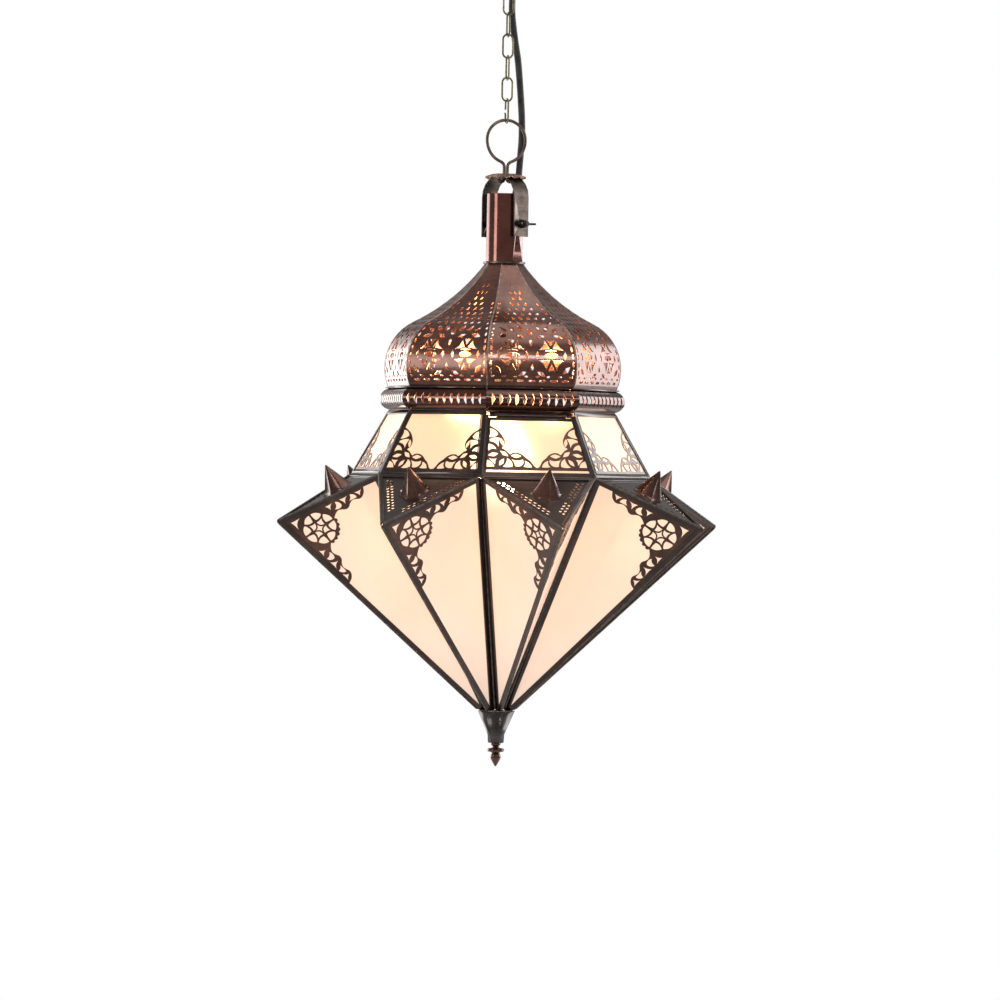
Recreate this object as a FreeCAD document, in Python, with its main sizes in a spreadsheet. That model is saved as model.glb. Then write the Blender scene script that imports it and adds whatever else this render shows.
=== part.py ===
import FreeCAD, Part
import math
import os

import Sketcher
from FreeCAD import Placement, Rotation, Vector

# An eight-sided star lantern of pierced copper sheet and frosted glass, hung by a short chain.
# The origin is on the ceiling, over the chain. +Z is up, and the lantern's door faces -Y. Sizes are in mm.

os.makedirs("parts", exist_ok=True)
doc = FreeCAD.newDocument("PendantLamp")

# Driving dimensions. Heights count down from the ceiling or up from the piece below, as each name says.
SIZES = [
    ("sides", 8),
    ("bracket_width", 16),
    ("bracket_thickness", 1.6),
    ("bracket_screw_spacing", 66),
    ("bracket_end", 9),
    ("bracket_screw_radius", 2.3),
    ("canopy_room", 8),
    ("canopy_rim_height", 7),
    ("canopy_height", 28),
    ("canopy_nose_margin", 1.26),
    ("canopy_wall", 1.2),
    ("canopy_nut_radius", 5),
    ("canopy_nut_height", 4),
    ("hook_shank_radius", 2.5),
    ("hook_shank_exposed", 18.9),
    ("hook_eye_radius", 6.5),
    ("hook_wire_radius", 1.6),
    ("link_length", 24.6),
    ("link_width", 11.8),
    ("link_wire_radius", 0.95),
    ("link_gap", 3.2),
    ("wire_play", 0.1),
    ("ring_radius", 19),
    ("ring_wire_radius", 1.5),
    ("ring_leg_half_gap", 0.1),
    ("ring_neck_height", 7.3),
    ("ring_curl_radius", 2.4),
    ("ring_curl_drop", 2.4),
    ("turn_play", 0.3),
    ("rosette_radius", 20.6),
    ("rosette_notch_depth", 2.2),
    ("rosette_flat_radius", 10.4),
    ("rosette_droop", 3.2),
    ("rosette_thickness", 1.0),
    ("strap_width", 20),
    ("strap_thickness", 1.4),
    ("strap_clearance", 2.63),
    ("strap_leg_length", 38),
    ("strap_leg_end", 12),
    ("bail_bolt_radius", 2.5),
    ("bolt_play", 0.1),
    ("bolt_head_radius", 4.5),
    ("bolt_head_height", 2.4),
    ("bolt_end_length", 2.5),
    ("wing_nut_hub_radius", 4.2),
    ("wing_nut_height", 6),
    ("wing_nut_span", 22),
    ("wing_thickness", 1.6),
    ("strap_twist", 32),
    ("neck_radius", 18.8),
    ("neck_wall", 0.8),
    ("neck_length", 65),
    ("neck_top_to_bolt", 29),
    ("neck_flange_lip", 1.8),
    ("neck_flange_thickness", 2),
    ("neck_flange_width", 7.6),
    ("dome_height", 119.6),
    ("dome_neck_inset", 0.5),
    ("dome_belly_radius", 114.3),
    ("dome_belly_height", 19.1),
    ("dome_belly_curve", 48.3),
    ("dome_shoulder_angle", 64),
    ("sheet_thickness", 1.0),
    ("seam_gap", 0.2),
    ("base_ring_thickness", 1.2),
    ("base_ring_width", 13.3),
    ("bead_height", 20.4),
    ("bead_lip_inset", 4.3),
    ("bead_bulge", 9),
    ("bead_flat_height", 10),
    ("bead_slot_width", 3.2),
    ("bead_slot_height", 8.6),
    ("bead_slot_count", 5),
    ("bead_slot_margin", 12),
    ("drum_height", 61.5),
    ("waist_radius", 145.3),
    ("star_radius", 220.3),
    ("star_tip_drop", 46.2),
    ("apex_drop", 242),
    ("cut_above_apex", 16.5),
    ("drum_frame_width", 4.6),
    ("lower_frame_width", 5.5),
    ("plate_frame_width", 4.5),
    ("frame_depth", 1.2),
    ("solder_gap", 0.3),
    ("corner_trim", 2.2),
    ("glass_thickness", 1.5),
    ("glass_overlap", 1.0),
    ("filigree_thickness", 0.5),
    ("filigree_wheel_radius", 16.5),
    ("filigree_lobe_radius", 9.5),
    ("filigree_arm_reach", 78),
    ("filigree_bar", 3),
    ("lay_play", 0.1),
    ("plate_thickness", 0.8),
    ("plate_slot_width", 3.2),
    ("plate_slot_length", 9),
    ("plate_slot_margin", 5),
    ("spike_radius", 15.5),
    ("spike_height", 26),
    ("spike_offset", 30),
    ("lintel_width", 3.6),
    ("knuckle_radius", 1.5),
    ("knuckle_length", 6),
    ("pin_radius", 0.7),
    ("pin_play", 0.05),
    ("collar_plate_thickness", 1.5),
    ("collar_taper_height", 22.7),
    ("collar_foot_radius", 8.4),
    ("collar_foot_height", 8),
    ("finial_length", 23),
    ("finial_disc_radius", 8.3),
    ("bridge_width", 14),
    ("bridge_thickness", 1.5),
    ("bridge_rise", 22),
    ("bridge_leg_inset", 4.4),
    ("bridge_foot", 10),
    ("nipple_radius", 5),
    ("nipple_bore", 3.6),
    ("nipple_length", 21),
    ("nipple_above", 12),
    ("lock_nut_radius", 8),
    ("lock_nut_height", 4),
    ("cord_grip_radius", 7.5),
    ("cord_grip_height", 13),
    ("holder_cap_lip", 1),
    ("holder_cap_height", 20),
    ("holder_shell_wall", 3.6),
    ("holder_shell_height", 25),
    ("bulb_play", 1),
    ("holder_wall", 2.5),
    ("bulb_cap_radius", 13.4),
    ("bulb_cap_height", 24),
    ("bulb_radius", 30),
    ("bulb_length", 76),
    ("bulb_wall", 1.1),
    ("flex_radius", 3.25),
    ("flex_hole_play", 0.4),
    ("flex_hole_x", 14.4),
    ("flex_hole_y", 4.6),
    ("flex_middle_x", 13),
    ("flex_middle_y", 7.4),
    ("flex_bow_x", 18.1),
    ("flex_bow_y", 7),
    ("flex_neck_x", 8.4),
    ("flex_neck_y", 6),
    ("canopy_hole_x", 8.6),
    ("canopy_hole_y", 7),
]

sheet = doc.addObject("Spreadsheet::Sheet", "Sizes")
for row, (alias, value) in enumerate(SIZES, start=1):
    sheet.set(f"A{row}", alias)
    sheet.set(f"B{row}", str(value))
    sheet.setAlias(f"B{row}", alias)
doc.recompute()


def size(alias):
    """The value of one named size."""
    return float(sheet.get(alias))


def worked_out(expression):
    """The value of a sum of named sizes, worked out in a cell of the sheet."""
    sheet.set("D1", "=" + expression.replace("Sizes.", ""))
    sheet.recompute()
    value = float(sheet.get("D1"))
    sheet.clear("D1")
    return value


# Levels, from the ceiling down, in the row's own Z.
sides = int(size("sides"))
half_side = math.pi / sides
full_side_degrees = 360 / sides
flatness = math.cos(half_side)

hook_pin_level = -worked_out("Sizes.canopy_height + Sizes.hook_shank_exposed + 2 * Sizes.hook_eye_radius")
link_bend = worked_out("Sizes.link_length - 2 * Sizes.link_wire_radius")
link_count = 5
link_pin_levels = []
upper_pin, upper_wire = hook_pin_level, size("hook_wire_radius")
for _ in range(link_count + 1):
    link_top = upper_pin + upper_wire + size("link_wire_radius") + size("wire_play")
    link_pin_levels.append(link_top - link_bend)
    upper_pin, upper_wire = link_pin_levels[-1], size("link_wire_radius")
open_link_pin_level = link_pin_levels[-1]

ring_top_level = open_link_pin_level + upper_wire + size("ring_wire_radius") + size("wire_play")
ring_centre_level = ring_top_level - size("ring_radius")
ring_corner = size("ring_radius") * math.sqrt(0.5)
leg_x = size("ring_wire_radius") + size("ring_leg_half_gap")
ring_neck_level = ring_centre_level - 2 * ring_corner + leg_x
rosette_top_level = ring_neck_level - size("ring_neck_height")
strap_top_level = rosette_top_level - size("rosette_thickness")
strap_inner_radius = size("neck_radius") * flatness + size("strap_clearance")
strap_centre_level = strap_top_level - size("strap_thickness") - strap_inner_radius
bolt_level = strap_centre_level + size("strap_leg_end") - size("strap_leg_length")
neck_top_level = bolt_level + size("neck_top_to_bolt")
neck_foot_level = neck_top_level - size("neck_length")
dome_top_level = neck_foot_level - size("neck_flange_thickness")
dome_foot_level = dome_top_level - size("dome_height")
bead_top_level = dome_foot_level - size("base_ring_thickness")
bead_foot_level = bead_top_level - size("bead_height")
drum_top_level = bead_foot_level - size("solder_gap")
waist_level = drum_top_level - size("drum_height")
star_tip_level = waist_level - size("star_tip_drop")
apex_level = waist_level - size("apex_drop")
cut_level = apex_level + size("cut_above_apex")
bridge_top_level = dome_foot_level + size("bridge_rise") + size("bridge_thickness")

subparts = []


def keep(thing, label):
    """Name one sub-part and put it on the list of those written out."""
    thing.Label = label
    subparts.append(thing)
    return thing


def solid_feature(label, shape, placement=None):
    """A sub-part whose shape is worked out from the named sizes, with its placement set after its shape."""
    feature = doc.addObject("Part::Feature", label)
    feature.Shape = shape
    if placement is not None:
        feature.Placement = placement
    return keep(feature, label)


def turned_by(degrees):
    """A placement turned about the lamp's own axis."""
    return Placement(Vector(0, 0, 0), Rotation(Vector(0, 0, 1), degrees))


# Bodies, sketches and features

def origin_plane(body, role):
    return next(item for item in body.Origin.OriginFeatures if item.Role == role)


def new_sketch(body, role, name):
    """A sketch on one of its own body's origin planes."""
    sketch = body.newObject("Sketcher::SketchObject", name)
    sketch.AttachmentSupport = [(origin_plane(body, role), "")]
    sketch.MapMode = "FlatFace"
    return sketch


def place_point(sketch, edge, position, across, up):
    """Hold one point of a sketch at two expressions of the sheet."""
    for kind, expression, axis in (("DistanceX", across, -2), ("DistanceY", up, -1)):
        value = worked_out(expression)
        if value == 0:
            sketch.addConstraint(Sketcher.Constraint("PointOnObject", edge, position, axis))
        else:
            index = sketch.addConstraint(Sketcher.Constraint(kind, -1, 1, edge, position, value))
            sketch.setExpression(f"Constraints[{index}]", expression)


def outline(sketch, points):
    """A closed outline of straight lines through points, each a pair of expressions."""
    flat = [Vector(worked_out(across), worked_out(up), 0) for across, up in points]
    first = sketch.GeometryCount
    count = len(points)
    for i in range(count):
        sketch.addGeometry(Part.LineSegment(flat[i], flat[(i + 1) % count]), False)
    for i in range(count):
        after = (i + 1) % count
        sketch.addConstraint(Sketcher.Constraint("Coincident", first + i, 2, first + after, 1))
    for i, (across, up) in enumerate(points):
        place_point(sketch, first + i, 1, across, up)


def circle(sketch, across, up, radius):
    """A circle whose centre and radius are expressions."""
    centre = Vector(worked_out(across), worked_out(up), 0)
    index = sketch.addGeometry(Part.Circle(centre, Vector(0, 0, 1), worked_out(radius)), False)
    place_point(sketch, index, 3, across, up)
    held = sketch.addConstraint(Sketcher.Constraint("Radius", index, worked_out(radius)))
    sketch.setExpression(f"Constraints[{held}]", radius)


def pad(body, sketch, length, midplane=False):
    feature = body.newObject("PartDesign::Pad", "Pad")
    feature.Profile = sketch
    feature.Midplane = midplane
    feature.setExpression("Length", length)
    sketch.Visibility = False
    return feature


def pocket_through(body, sketch):
    """A pocket through all of the body, both ways from its sketch."""
    feature = body.newObject("PartDesign::Pocket", "Pocket")
    feature.Profile = sketch
    feature.Type = "ThroughAll"
    feature.Midplane = True
    sketch.Visibility = False
    return feature


def revolution(body, sketch):
    feature = body.newObject("PartDesign::Revolution", "Revolution")
    feature.Profile = sketch
    feature.ReferenceAxis = (sketch, ["V_Axis"])
    feature.Angle = 360
    sketch.Visibility = False
    return feature


def new_body(label, level=None):
    """A body, lifted to its level when that is given."""
    body = keep(doc.addObject("PartDesign::Body", label), label)
    if level is not None:
        body.Placement = Placement(Vector(0, 0, level), Rotation())
    return body


# Faceted solids: wires and turned pieces with a few flat faces round them

def closed_solid(faces):
    return Part.Solid(Part.Shell(faces))


def face_through(points):
    return Part.Face(Part.makePolygon(list(points) + [points[0]]))


def skin_between(rings, closed):
    """Flat faces from each ring of points to the next, and end faces unless the rings close on themselves."""
    faces = []
    count = len(rings[0])
    pairs = list(zip(rings, rings[1:]))
    if closed:
        pairs.append((rings[-1], rings[0]))
    for near, far in pairs:
        for i in range(count):
            after = (i + 1) % count
            faces.append(face_through([near[i], near[after], far[after], far[i]]))
    if not closed:
        faces.append(face_through(rings[0]))
        faces.append(face_through(rings[-1]))
    return closed_solid(faces)


def wire_along(points, radius, across, facets=6, closed=True):
    """A round wire, faceted, along points in one plane; across is that plane's normal."""
    rings = []
    count = len(points)
    for i, point in enumerate(points):
        before = points[i - 1] if closed or i > 0 else None
        after = points[(i + 1) % count] if closed or i < count - 1 else None
        into = (point - before).normalize() if before else (after - point).normalize()
        out_of = (after - point).normalize() if after else into
        along = (into + out_of).normalize()
        side = along.cross(across).normalize()
        stretch = 1 / math.cos(into.getAngle(out_of) / 2)
        ring = []
        for step in range(facets):
            angle = 2 * math.pi * (step + 0.5) / facets
            along_side = side * (radius * stretch * math.cos(angle))
            ring.append(point + along_side + across * (radius * math.sin(angle)))
        rings.append(ring)
    return skin_between(rings, closed)


def arc_points(centre, radius, start, end, steps, right, up):
    """Points on an arc; angles in degrees from right towards up, both ends included."""
    points = []
    for step in range(steps + 1):
        angle = math.radians(start + (end - start) * step / steps)
        points.append(centre + right * (radius * math.cos(angle)) + up * (radius * math.sin(angle)))
    return points


def turned(profile, facets, axis_at=Vector(0, 0, 0)):
    """A faceted turned solid: profile holds radius and height pairs, from one end to the other."""
    rings = []
    for radius, height in profile:
        ring = []
        for step in range(facets):
            angle = 2 * math.pi * (step + 0.5) / facets
            reach = Vector(radius * math.cos(angle), radius * math.sin(angle), height)
            ring.append(axis_at + reach)
        rings.append(ring)
    return skin_between(rings, False)


def turned_hollow(section, facets, axis_at=Vector(0, 0, 0)):
    """A faceted turned ring: section holds the radius and height pairs of its closed outline."""
    rings = []
    for radius, height in section:
        ring = []
        for step in range(facets):
            angle = 2 * math.pi * (step + 0.5) / facets
            ring.append(axis_at + Vector(radius * math.cos(angle), radius * math.sin(angle), height))
        rings.append(ring)
    return skin_between(rings, True)


def corner(azimuth, radius, level):
    """A point at a compass angle in degrees from -Y towards +X."""
    angle = math.radians(azimuth)
    return Vector(radius * math.sin(angle), -radius * math.cos(angle), level)


RIGHT = Vector(1, 0, 0)
BACK = Vector(0, 1, 0)
UP = Vector(0, 0, 1)

# Ceiling bracket: a flat steel strip with two screw holes and the hook's threaded hole
bracket_half = "(Sizes.bracket_screw_spacing / 2 + Sizes.bracket_end)"
bracket = new_body("ceiling_bracket", -size("bracket_thickness"))
bracket_plan = new_sketch(bracket, "XY_Plane", "BracketPlan")
outline(bracket_plan, [
    (f"-{bracket_half}", "-Sizes.bracket_width / 2"),
    (bracket_half, "-Sizes.bracket_width / 2"),
    (bracket_half, "Sizes.bracket_width / 2"),
    (f"-{bracket_half}", "Sizes.bracket_width / 2"),
])
circle(bracket_plan, "Sizes.bracket_screw_spacing / 2", "0", "Sizes.bracket_screw_radius")
circle(bracket_plan, "-Sizes.bracket_screw_spacing / 2", "0", "Sizes.bracket_screw_radius")
outline(bracket_plan, [
    (f"(Sizes.hook_shank_radius + Sizes.bolt_play) / cos(180 / 12) * cos({turn})",
     f"(Sizes.hook_shank_radius + Sizes.bolt_play) / cos(180 / 12) * sin({turn})")
     for turn in range(15, 375, 30)])
pad(bracket, bracket_plan, "Sizes.bracket_thickness")

# Canopy: a spun cup that hides the bracket, with a hole for the hook and one for the flex
canopy_foot = -size("canopy_height")
canopy_wall = size("canopy_wall")
canopy_facets = 12
canopy_radius = size("bracket_screw_spacing") / 2 + size("bracket_end") + size("canopy_room")
flex_bore_radius = size("flex_radius") + size("flex_hole_play")
canopy_nose_radius = (
    math.hypot(size("canopy_hole_x"), size("canopy_hole_y")) + flex_bore_radius + size("canopy_nose_margin"))
hole_facets = 12
canopy_shell = turned([
    (canopy_nose_radius, canopy_foot),
    (canopy_radius * 0.8, canopy_foot + size("canopy_height") * 0.42),
    (canopy_radius, -size("canopy_rim_height")), (canopy_radius, 0),
], canopy_facets)
canopy_hollow = turned([
    (canopy_nose_radius - canopy_wall / 2, canopy_foot + canopy_wall),
    (canopy_radius * 0.8 - canopy_wall * 0.8, canopy_foot + size("canopy_height") * 0.42 + canopy_wall * 0.8),
    (canopy_radius - canopy_wall, -size("canopy_rim_height")),
    (canopy_radius - canopy_wall, size("canopy_height")),
], canopy_facets)
canopy_hole = Part.makeCylinder(
    size("hook_shank_radius") + size("bolt_play"), 3 * canopy_wall,
    Vector(0, 0, canopy_foot - canopy_wall), UP)
flex_entry = turned([
    (flex_bore_radius, canopy_foot - canopy_wall), (flex_bore_radius, canopy_foot + 2 * canopy_wall)],
    hole_facets, Vector(size("canopy_hole_x"), size("canopy_hole_y"), 0))
solid_feature("ceiling_canopy", canopy_shell.cut([canopy_hollow, canopy_hole, flex_entry]))

# Hook: a threaded shank and an eye bent from the same rod, with a nut that pulls the canopy up
shank_top = -size("bracket_thickness")
eye_centre = Vector(0, 0, hook_pin_level + size("hook_eye_radius"))
eye_top = eye_centre.z + size("hook_eye_radius")
shank = turned([
    (size("hook_shank_radius"), eye_top - size("hook_wire_radius")),
    (size("hook_shank_radius"), 0),
], 10)
eye = wire_along(
    arc_points(eye_centre, size("hook_eye_radius"), 90, 90 + 345, 23, BACK, UP),
    size("hook_wire_radius"), RIGHT)
solid_feature("ceiling_hook", shank.fuse(eye).removeSplitter())
nut_top = -size("canopy_height")
canopy_nut = turned([
    (size("canopy_nut_radius"), nut_top - size("canopy_nut_height")),
    (size("canopy_nut_radius"), nut_top),
], 6)
nut_hole = turned([
    (size("hook_shank_radius") + size("bolt_play"), nut_top - 2 * size("canopy_nut_height")),
    (size("hook_shank_radius") + size("bolt_play"), nut_top + size("canopy_nut_height")),
], 10)
solid_feature("canopy_nut", canopy_nut.cut(nut_hole))


# Chain: five closed links in turn, then one link whose side is sprung open
def link_path(pin_level, right):
    """The centre line of one link, from the middle of its right side round to the same side."""
    half = (size("link_width") - 2 * size("link_wire_radius")) / 2
    low = Vector(0, 0, pin_level + half)
    high = Vector(0, 0, pin_level + link_bend - half)
    top = arc_points(high, half, 0, 180, 6, right, UP)
    bottom = arc_points(low, half, 180, 360, 6, right, UP)
    return top + bottom


link_rights = []
for number, pin_level in enumerate(link_pin_levels[:link_count], start=1):
    right, across = (RIGHT, BACK) if number % 2 else (BACK, RIGHT)
    solid_feature(
        f"chain_link_{number}", wire_along(link_path(pin_level, right), size("link_wire_radius"), across))

open_path = link_path(open_link_pin_level, BACK)
open_middle = open_link_pin_level + link_bend / 2
open_side = open_path[0].y
upper_end = Vector(0, open_side, open_middle + size("link_gap") / 2)
lower_end = Vector(0, open_side + size("link_gap") / 2, open_middle - size("link_gap") / 2)
solid_feature("open_link", wire_along(
    [upper_end] + open_path + [lower_end], size("link_wire_radius"), RIGHT, closed=False))

# Hanging ring: one wire, bent to a ring, its ends taken down through the rosette and curled outward
leg_top = strap_top_level - size("strap_thickness") - size("turn_play")
leg_foot = leg_top - size("ring_wire_radius") - size("ring_curl_drop") / 2
curl_radius = size("ring_curl_radius")


def ring_end(sign):
    """One leg and its curl, from the ring down; sign is 1 on the +X side."""
    curl_centre = Vector(sign * (leg_x + curl_radius), 0, leg_foot)
    curl = arc_points(curl_centre, curl_radius, 180, 370, 5, RIGHT * sign, UP)
    return [Vector(sign * leg_x, 0, ring_neck_level)] + curl


ring_arc = arc_points(Vector(0, 0, ring_centre_level), size("ring_radius"), 225, -45, 18, RIGHT, UP)
ring_path = list(reversed(ring_end(-1))) + ring_arc + ring_end(1)
solid_feature("hanging_ring", wire_along(ring_path, size("ring_wire_radius"), BACK, closed=False))

# Rosette: a stamped washer with twelve drooping petals, bored for the ring and for the flex
petal_count = 12
ring_hole = leg_x + size("ring_wire_radius") + size("turn_play")


def rosette_ring(level_shift, inset):
    """The flat edge and the petalled rim of one skin of the rosette."""
    flat_edge, rim = [], []
    for step in range(2 * petal_count):
        angle = math.pi * step / petal_count
        reach = size("rosette_radius") - inset - (size("rosette_notch_depth") if step % 2 else 0)
        direction = RIGHT * math.cos(angle) + BACK * math.sin(angle)
        flat_edge.append(direction * size("rosette_flat_radius") + UP * (rosette_top_level - level_shift))
        rim.append(direction * reach + UP * (rosette_top_level - level_shift - size("rosette_droop")))
    return flat_edge, rim


upper_flat, upper_rim = rosette_ring(0, 0)
lower_flat, lower_rim = rosette_ring(size("rosette_thickness"), 0)
rosette_faces = [face_through(upper_flat), face_through(lower_flat)]
for step in range(2 * petal_count):
    after = (step + 1) % (2 * petal_count)
    for flat_edge, rim in ((upper_flat, upper_rim), (lower_flat, lower_rim)):
        rosette_faces.append(face_through([flat_edge[step], flat_edge[after], rim[after]]))
        rosette_faces.append(face_through([flat_edge[step], rim[after], rim[step]]))
    rosette_faces.append(face_through([upper_rim[step], upper_rim[after], lower_rim[after], lower_rim[step]]))
rosette_blank = closed_solid(rosette_faces)
bore_depth = size("rosette_droop") + 2 * size("rosette_thickness")
ring_bore = Part.makeCylinder(ring_hole, bore_depth, Vector(0, 0, rosette_top_level - bore_depth / 2), UP)
flex_bore = turned([
    (flex_bore_radius, rosette_top_level - bore_depth), (flex_bore_radius, rosette_top_level + bore_depth)],
    hole_facets, Vector(size("flex_hole_x"), size("flex_hole_y"), 0))
solid_feature("rosette", rosette_blank.cut([ring_bore, flex_bore]))

# Bail: a bent strip whose legs hold the neck on a bolt
strap = new_body("bail_strap")
strap.Placement = Placement(Vector(0, 0, strap_centre_level), Rotation(UP, size("strap_twist") - 90))
strap_side = new_sketch(strap, "XZ_Plane", "StrapSide")
strap_outer = strap_inner_radius + size("strap_thickness")
inner_expression = "(Sizes.neck_radius * cos(180 / Sizes.sides) + Sizes.strap_clearance)"
outer_expression = f"({inner_expression} + Sizes.strap_thickness)"
bend_count = 10
strap_points = [(f"-{outer_expression}", "-Sizes.strap_leg_length")]
for step in range(bend_count + 1):
    angle = 180 - 180 * step / bend_count
    strap_points.append((f"{outer_expression} * cos({angle})", f"{outer_expression} * sin({angle})"))
strap_points.append((outer_expression, "-Sizes.strap_leg_length"))
strap_points.append((inner_expression, "-Sizes.strap_leg_length"))
for step in range(bend_count + 1):
    angle = 180 * step / bend_count
    strap_points.append((f"{inner_expression} * cos({angle})", f"{inner_expression} * sin({angle})"))
strap_points.append((f"-{inner_expression}", "-Sizes.strap_leg_length"))
outline(strap_side, strap_points)
pad(strap, strap_side, "Sizes.strap_width", midplane=True)
strap_bolt_holes = new_sketch(strap, "YZ_Plane", "StrapBoltHoles")
circle(strap_bolt_holes, "0", "Sizes.strap_leg_end - Sizes.strap_leg_length",
       "Sizes.bail_bolt_radius + Sizes.bolt_play")
pocket_through(strap, strap_bolt_holes)
strap_ring_hole = new_sketch(strap, "XY_Plane", "StrapRingHole")
ring_hole_radius = "(2 * Sizes.ring_wire_radius + Sizes.ring_leg_half_gap + Sizes.turn_play) / cos(180 / 12)"
outline(strap_ring_hole, [
    (f"{ring_hole_radius} * cos({turn})", f"{ring_hole_radius} * sin({turn})")
    for turn in range(15, 375, 30)])
pocket_through(strap, strap_ring_hole)

# Bolt and wing nut, on the line through both legs of the bail
bolt_place = Placement(Vector(0, 0, bolt_level), Rotation(UP, size("strap_twist") - 90) * Rotation(BACK, 90))
head_at = -strap_outer
bolt_end = strap_outer + size("wing_nut_height") + size("bolt_end_length")
solid_feature("bail_bolt", turned([
    (size("bolt_head_radius") * 0.7, head_at - size("bolt_head_height")),
    (size("bolt_head_radius"), head_at - size("bolt_head_height") * 0.4),
    (size("bolt_head_radius"), head_at), (size("bail_bolt_radius"), head_at),
    (size("bail_bolt_radius"), bolt_end),
], 12), bolt_place)

nut_foot = strap_outer + size("turn_play")
hub = turned([
    (size("wing_nut_hub_radius"), nut_foot),
    (size("wing_nut_hub_radius") * 0.8, nut_foot + size("wing_nut_height")),
], 10)
wing_reach = size("wing_nut_span") / 2
wing_half = size("wing_thickness") / 2
wing_points = [
    (0, nut_foot + size("wing_nut_height") * 0.2),
    (wing_reach * 0.55, nut_foot + size("wing_nut_height") * 0.35),
    (wing_reach * 0.9, nut_foot + size("wing_nut_height") * 0.9),
    (wing_reach, nut_foot + size("wing_nut_height") * 1.5),
    (wing_reach * 0.75, nut_foot + size("wing_nut_height") * 1.6),
    (wing_reach * 0.45, nut_foot + size("wing_nut_height")), (0, nut_foot + size("wing_nut_height") * 0.9),
]
wings = []
for sign in (1, -1):
    wing_outline = [Vector(-wing_half, sign * across, up) for across, up in wing_points]
    wings.append(face_through(wing_outline).extrude(Vector(2 * wing_half, 0, 0)))
nut_bore = Part.makeCylinder(
    size("bail_bolt_radius") + size("bolt_play") / 2, 3 * size("wing_nut_height"),
    Vector(0, 0, nut_foot - size("wing_nut_height")), UP)
solid_feature("wing_nut", hub.fuse(wings).cut(nut_bore), bolt_place)

# Neck: an eight-sided tube, drilled for the bolt
neck = new_body("neck_tube")
neck.Placement = Placement(Vector(0, 0, neck_foot_level), Rotation(UP, size("strap_twist") - 90))
neck_plan = new_sketch(neck, "XY_Plane", "NeckPlan")


def polygon_expressions(radius):
    """The corners of the lantern's polygon, with its flats square to the axes."""
    corners = []
    for step in range(sides):
        angle = f"(360 / Sizes.sides) * {step} + 180 / Sizes.sides"
        corners.append((f"({radius}) * cos({angle})", f"({radius}) * sin({angle})"))
    return corners


outline(neck_plan, polygon_expressions("Sizes.neck_radius"))
outline(neck_plan, polygon_expressions("Sizes.neck_radius - Sizes.neck_wall"))
pad(neck, neck_plan, "Sizes.neck_length")
neck_bolt_holes = new_sketch(neck, "YZ_Plane", "NeckBoltHoles")
circle(neck_bolt_holes, "0", "Sizes.neck_length - Sizes.neck_top_to_bolt",
       "Sizes.bail_bolt_radius + Sizes.bolt_play")
pocket_through(neck, neck_bolt_holes)

# Flange soldered between the neck and the dome
flange = new_body("neck_flange", dome_top_level)
flange_plan = new_sketch(flange, "XY_Plane", "FlangePlan")
outline(flange_plan, polygon_expressions("Sizes.neck_radius + Sizes.neck_flange_lip"))
outline(
    flange_plan, polygon_expressions("Sizes.neck_radius + Sizes.neck_flange_lip - Sizes.neck_flange_width"))
pad(flange, flange_plan, "Sizes.neck_flange_thickness")


# Dome: eight sheets, each curved one way only, cut by the planes between them and pierced
def wedge(reach, low, high, gap):
    """The space between the two planes that part one side of the lantern from its neighbours."""
    half_width = reach * math.tan(half_side)
    shift = gap / 2 / math.sin(half_side)
    plan = [
        Vector(0, -shift, low), Vector(half_width, -reach - shift, low),
        Vector(-half_width, -reach - shift, low)]
    return face_through(plan).extrude(Vector(0, 0, high - low))


def dome_profile():
    """The sheet's section at a corner, as radius and height: a round belly, then a hollow arc to the neck."""
    belly = size("dome_belly_curve")
    centre_radius = size("dome_belly_radius") - belly
    centre_height = size("dome_belly_height")
    shoulder = math.radians(size("dome_shoulder_angle"))
    foot = -math.asin(centre_height / belly)
    outward = (math.cos(shoulder), math.sin(shoulder))
    joint = (centre_radius + outward[0] * belly, centre_height + outward[1] * belly)
    neck_edge = (size("neck_radius") - size("dome_neck_inset"), size("dome_height"))
    chord = (joint[0] - neck_edge[0], joint[1] - neck_edge[1])
    hollow = -(chord[0] ** 2 + chord[1] ** 2) / (2 * (chord[0] * outward[0] + chord[1] * outward[1]))
    hollow_centre = (joint[0] + outward[0] * hollow, joint[1] + outward[1] * hollow)
    points = []
    belly_step_count = 5
    for step in range(belly_step_count + 1):
        angle = foot + (shoulder - foot) * step / belly_step_count
        points.append((centre_radius + belly * math.cos(angle), centre_height + belly * math.sin(angle)))
    start = math.atan2(joint[1] - hollow_centre[1], joint[0] - hollow_centre[0]) % (2 * math.pi)
    end = math.atan2(neck_edge[1] - hollow_centre[1], neck_edge[0] - hollow_centre[0]) % (2 * math.pi)
    hollow_step_count = 4
    for step in range(1, hollow_step_count + 1):
        angle = start + (end - start) * step / hollow_step_count
        points.append(
            (hollow_centre[0] + hollow * math.cos(angle), hollow_centre[1] + hollow * math.sin(angle)))
    return points


def bent_strip(points, thickness):
    """The section of a bent sheet, from points in the plane of one side's middle, thickened inward."""
    inner = []
    count = len(points)
    for i, (out, up) in enumerate(points):
        before, after = points[max(i - 1, 0)], points[min(i + 1, count - 1)]
        sides_here = []
        for (ax, ay), (bx, by) in (((before), (out, up)), ((out, up), (after))):
            length = math.hypot(bx - ax, by - ay)
            if length:
                sides_here.append((-(by - ay) / length, (bx - ax) / length))
        nx = sum(side[0] for side in sides_here)
        ny = sum(side[1] for side in sides_here)
        length = math.hypot(nx, ny)
        nx, ny = nx / length, ny / length
        square = thickness / (nx * sides_here[0][0] + ny * sides_here[0][1])
        inner.append((out + nx * square, up + ny * square))
    return points + list(reversed(inner))


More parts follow.
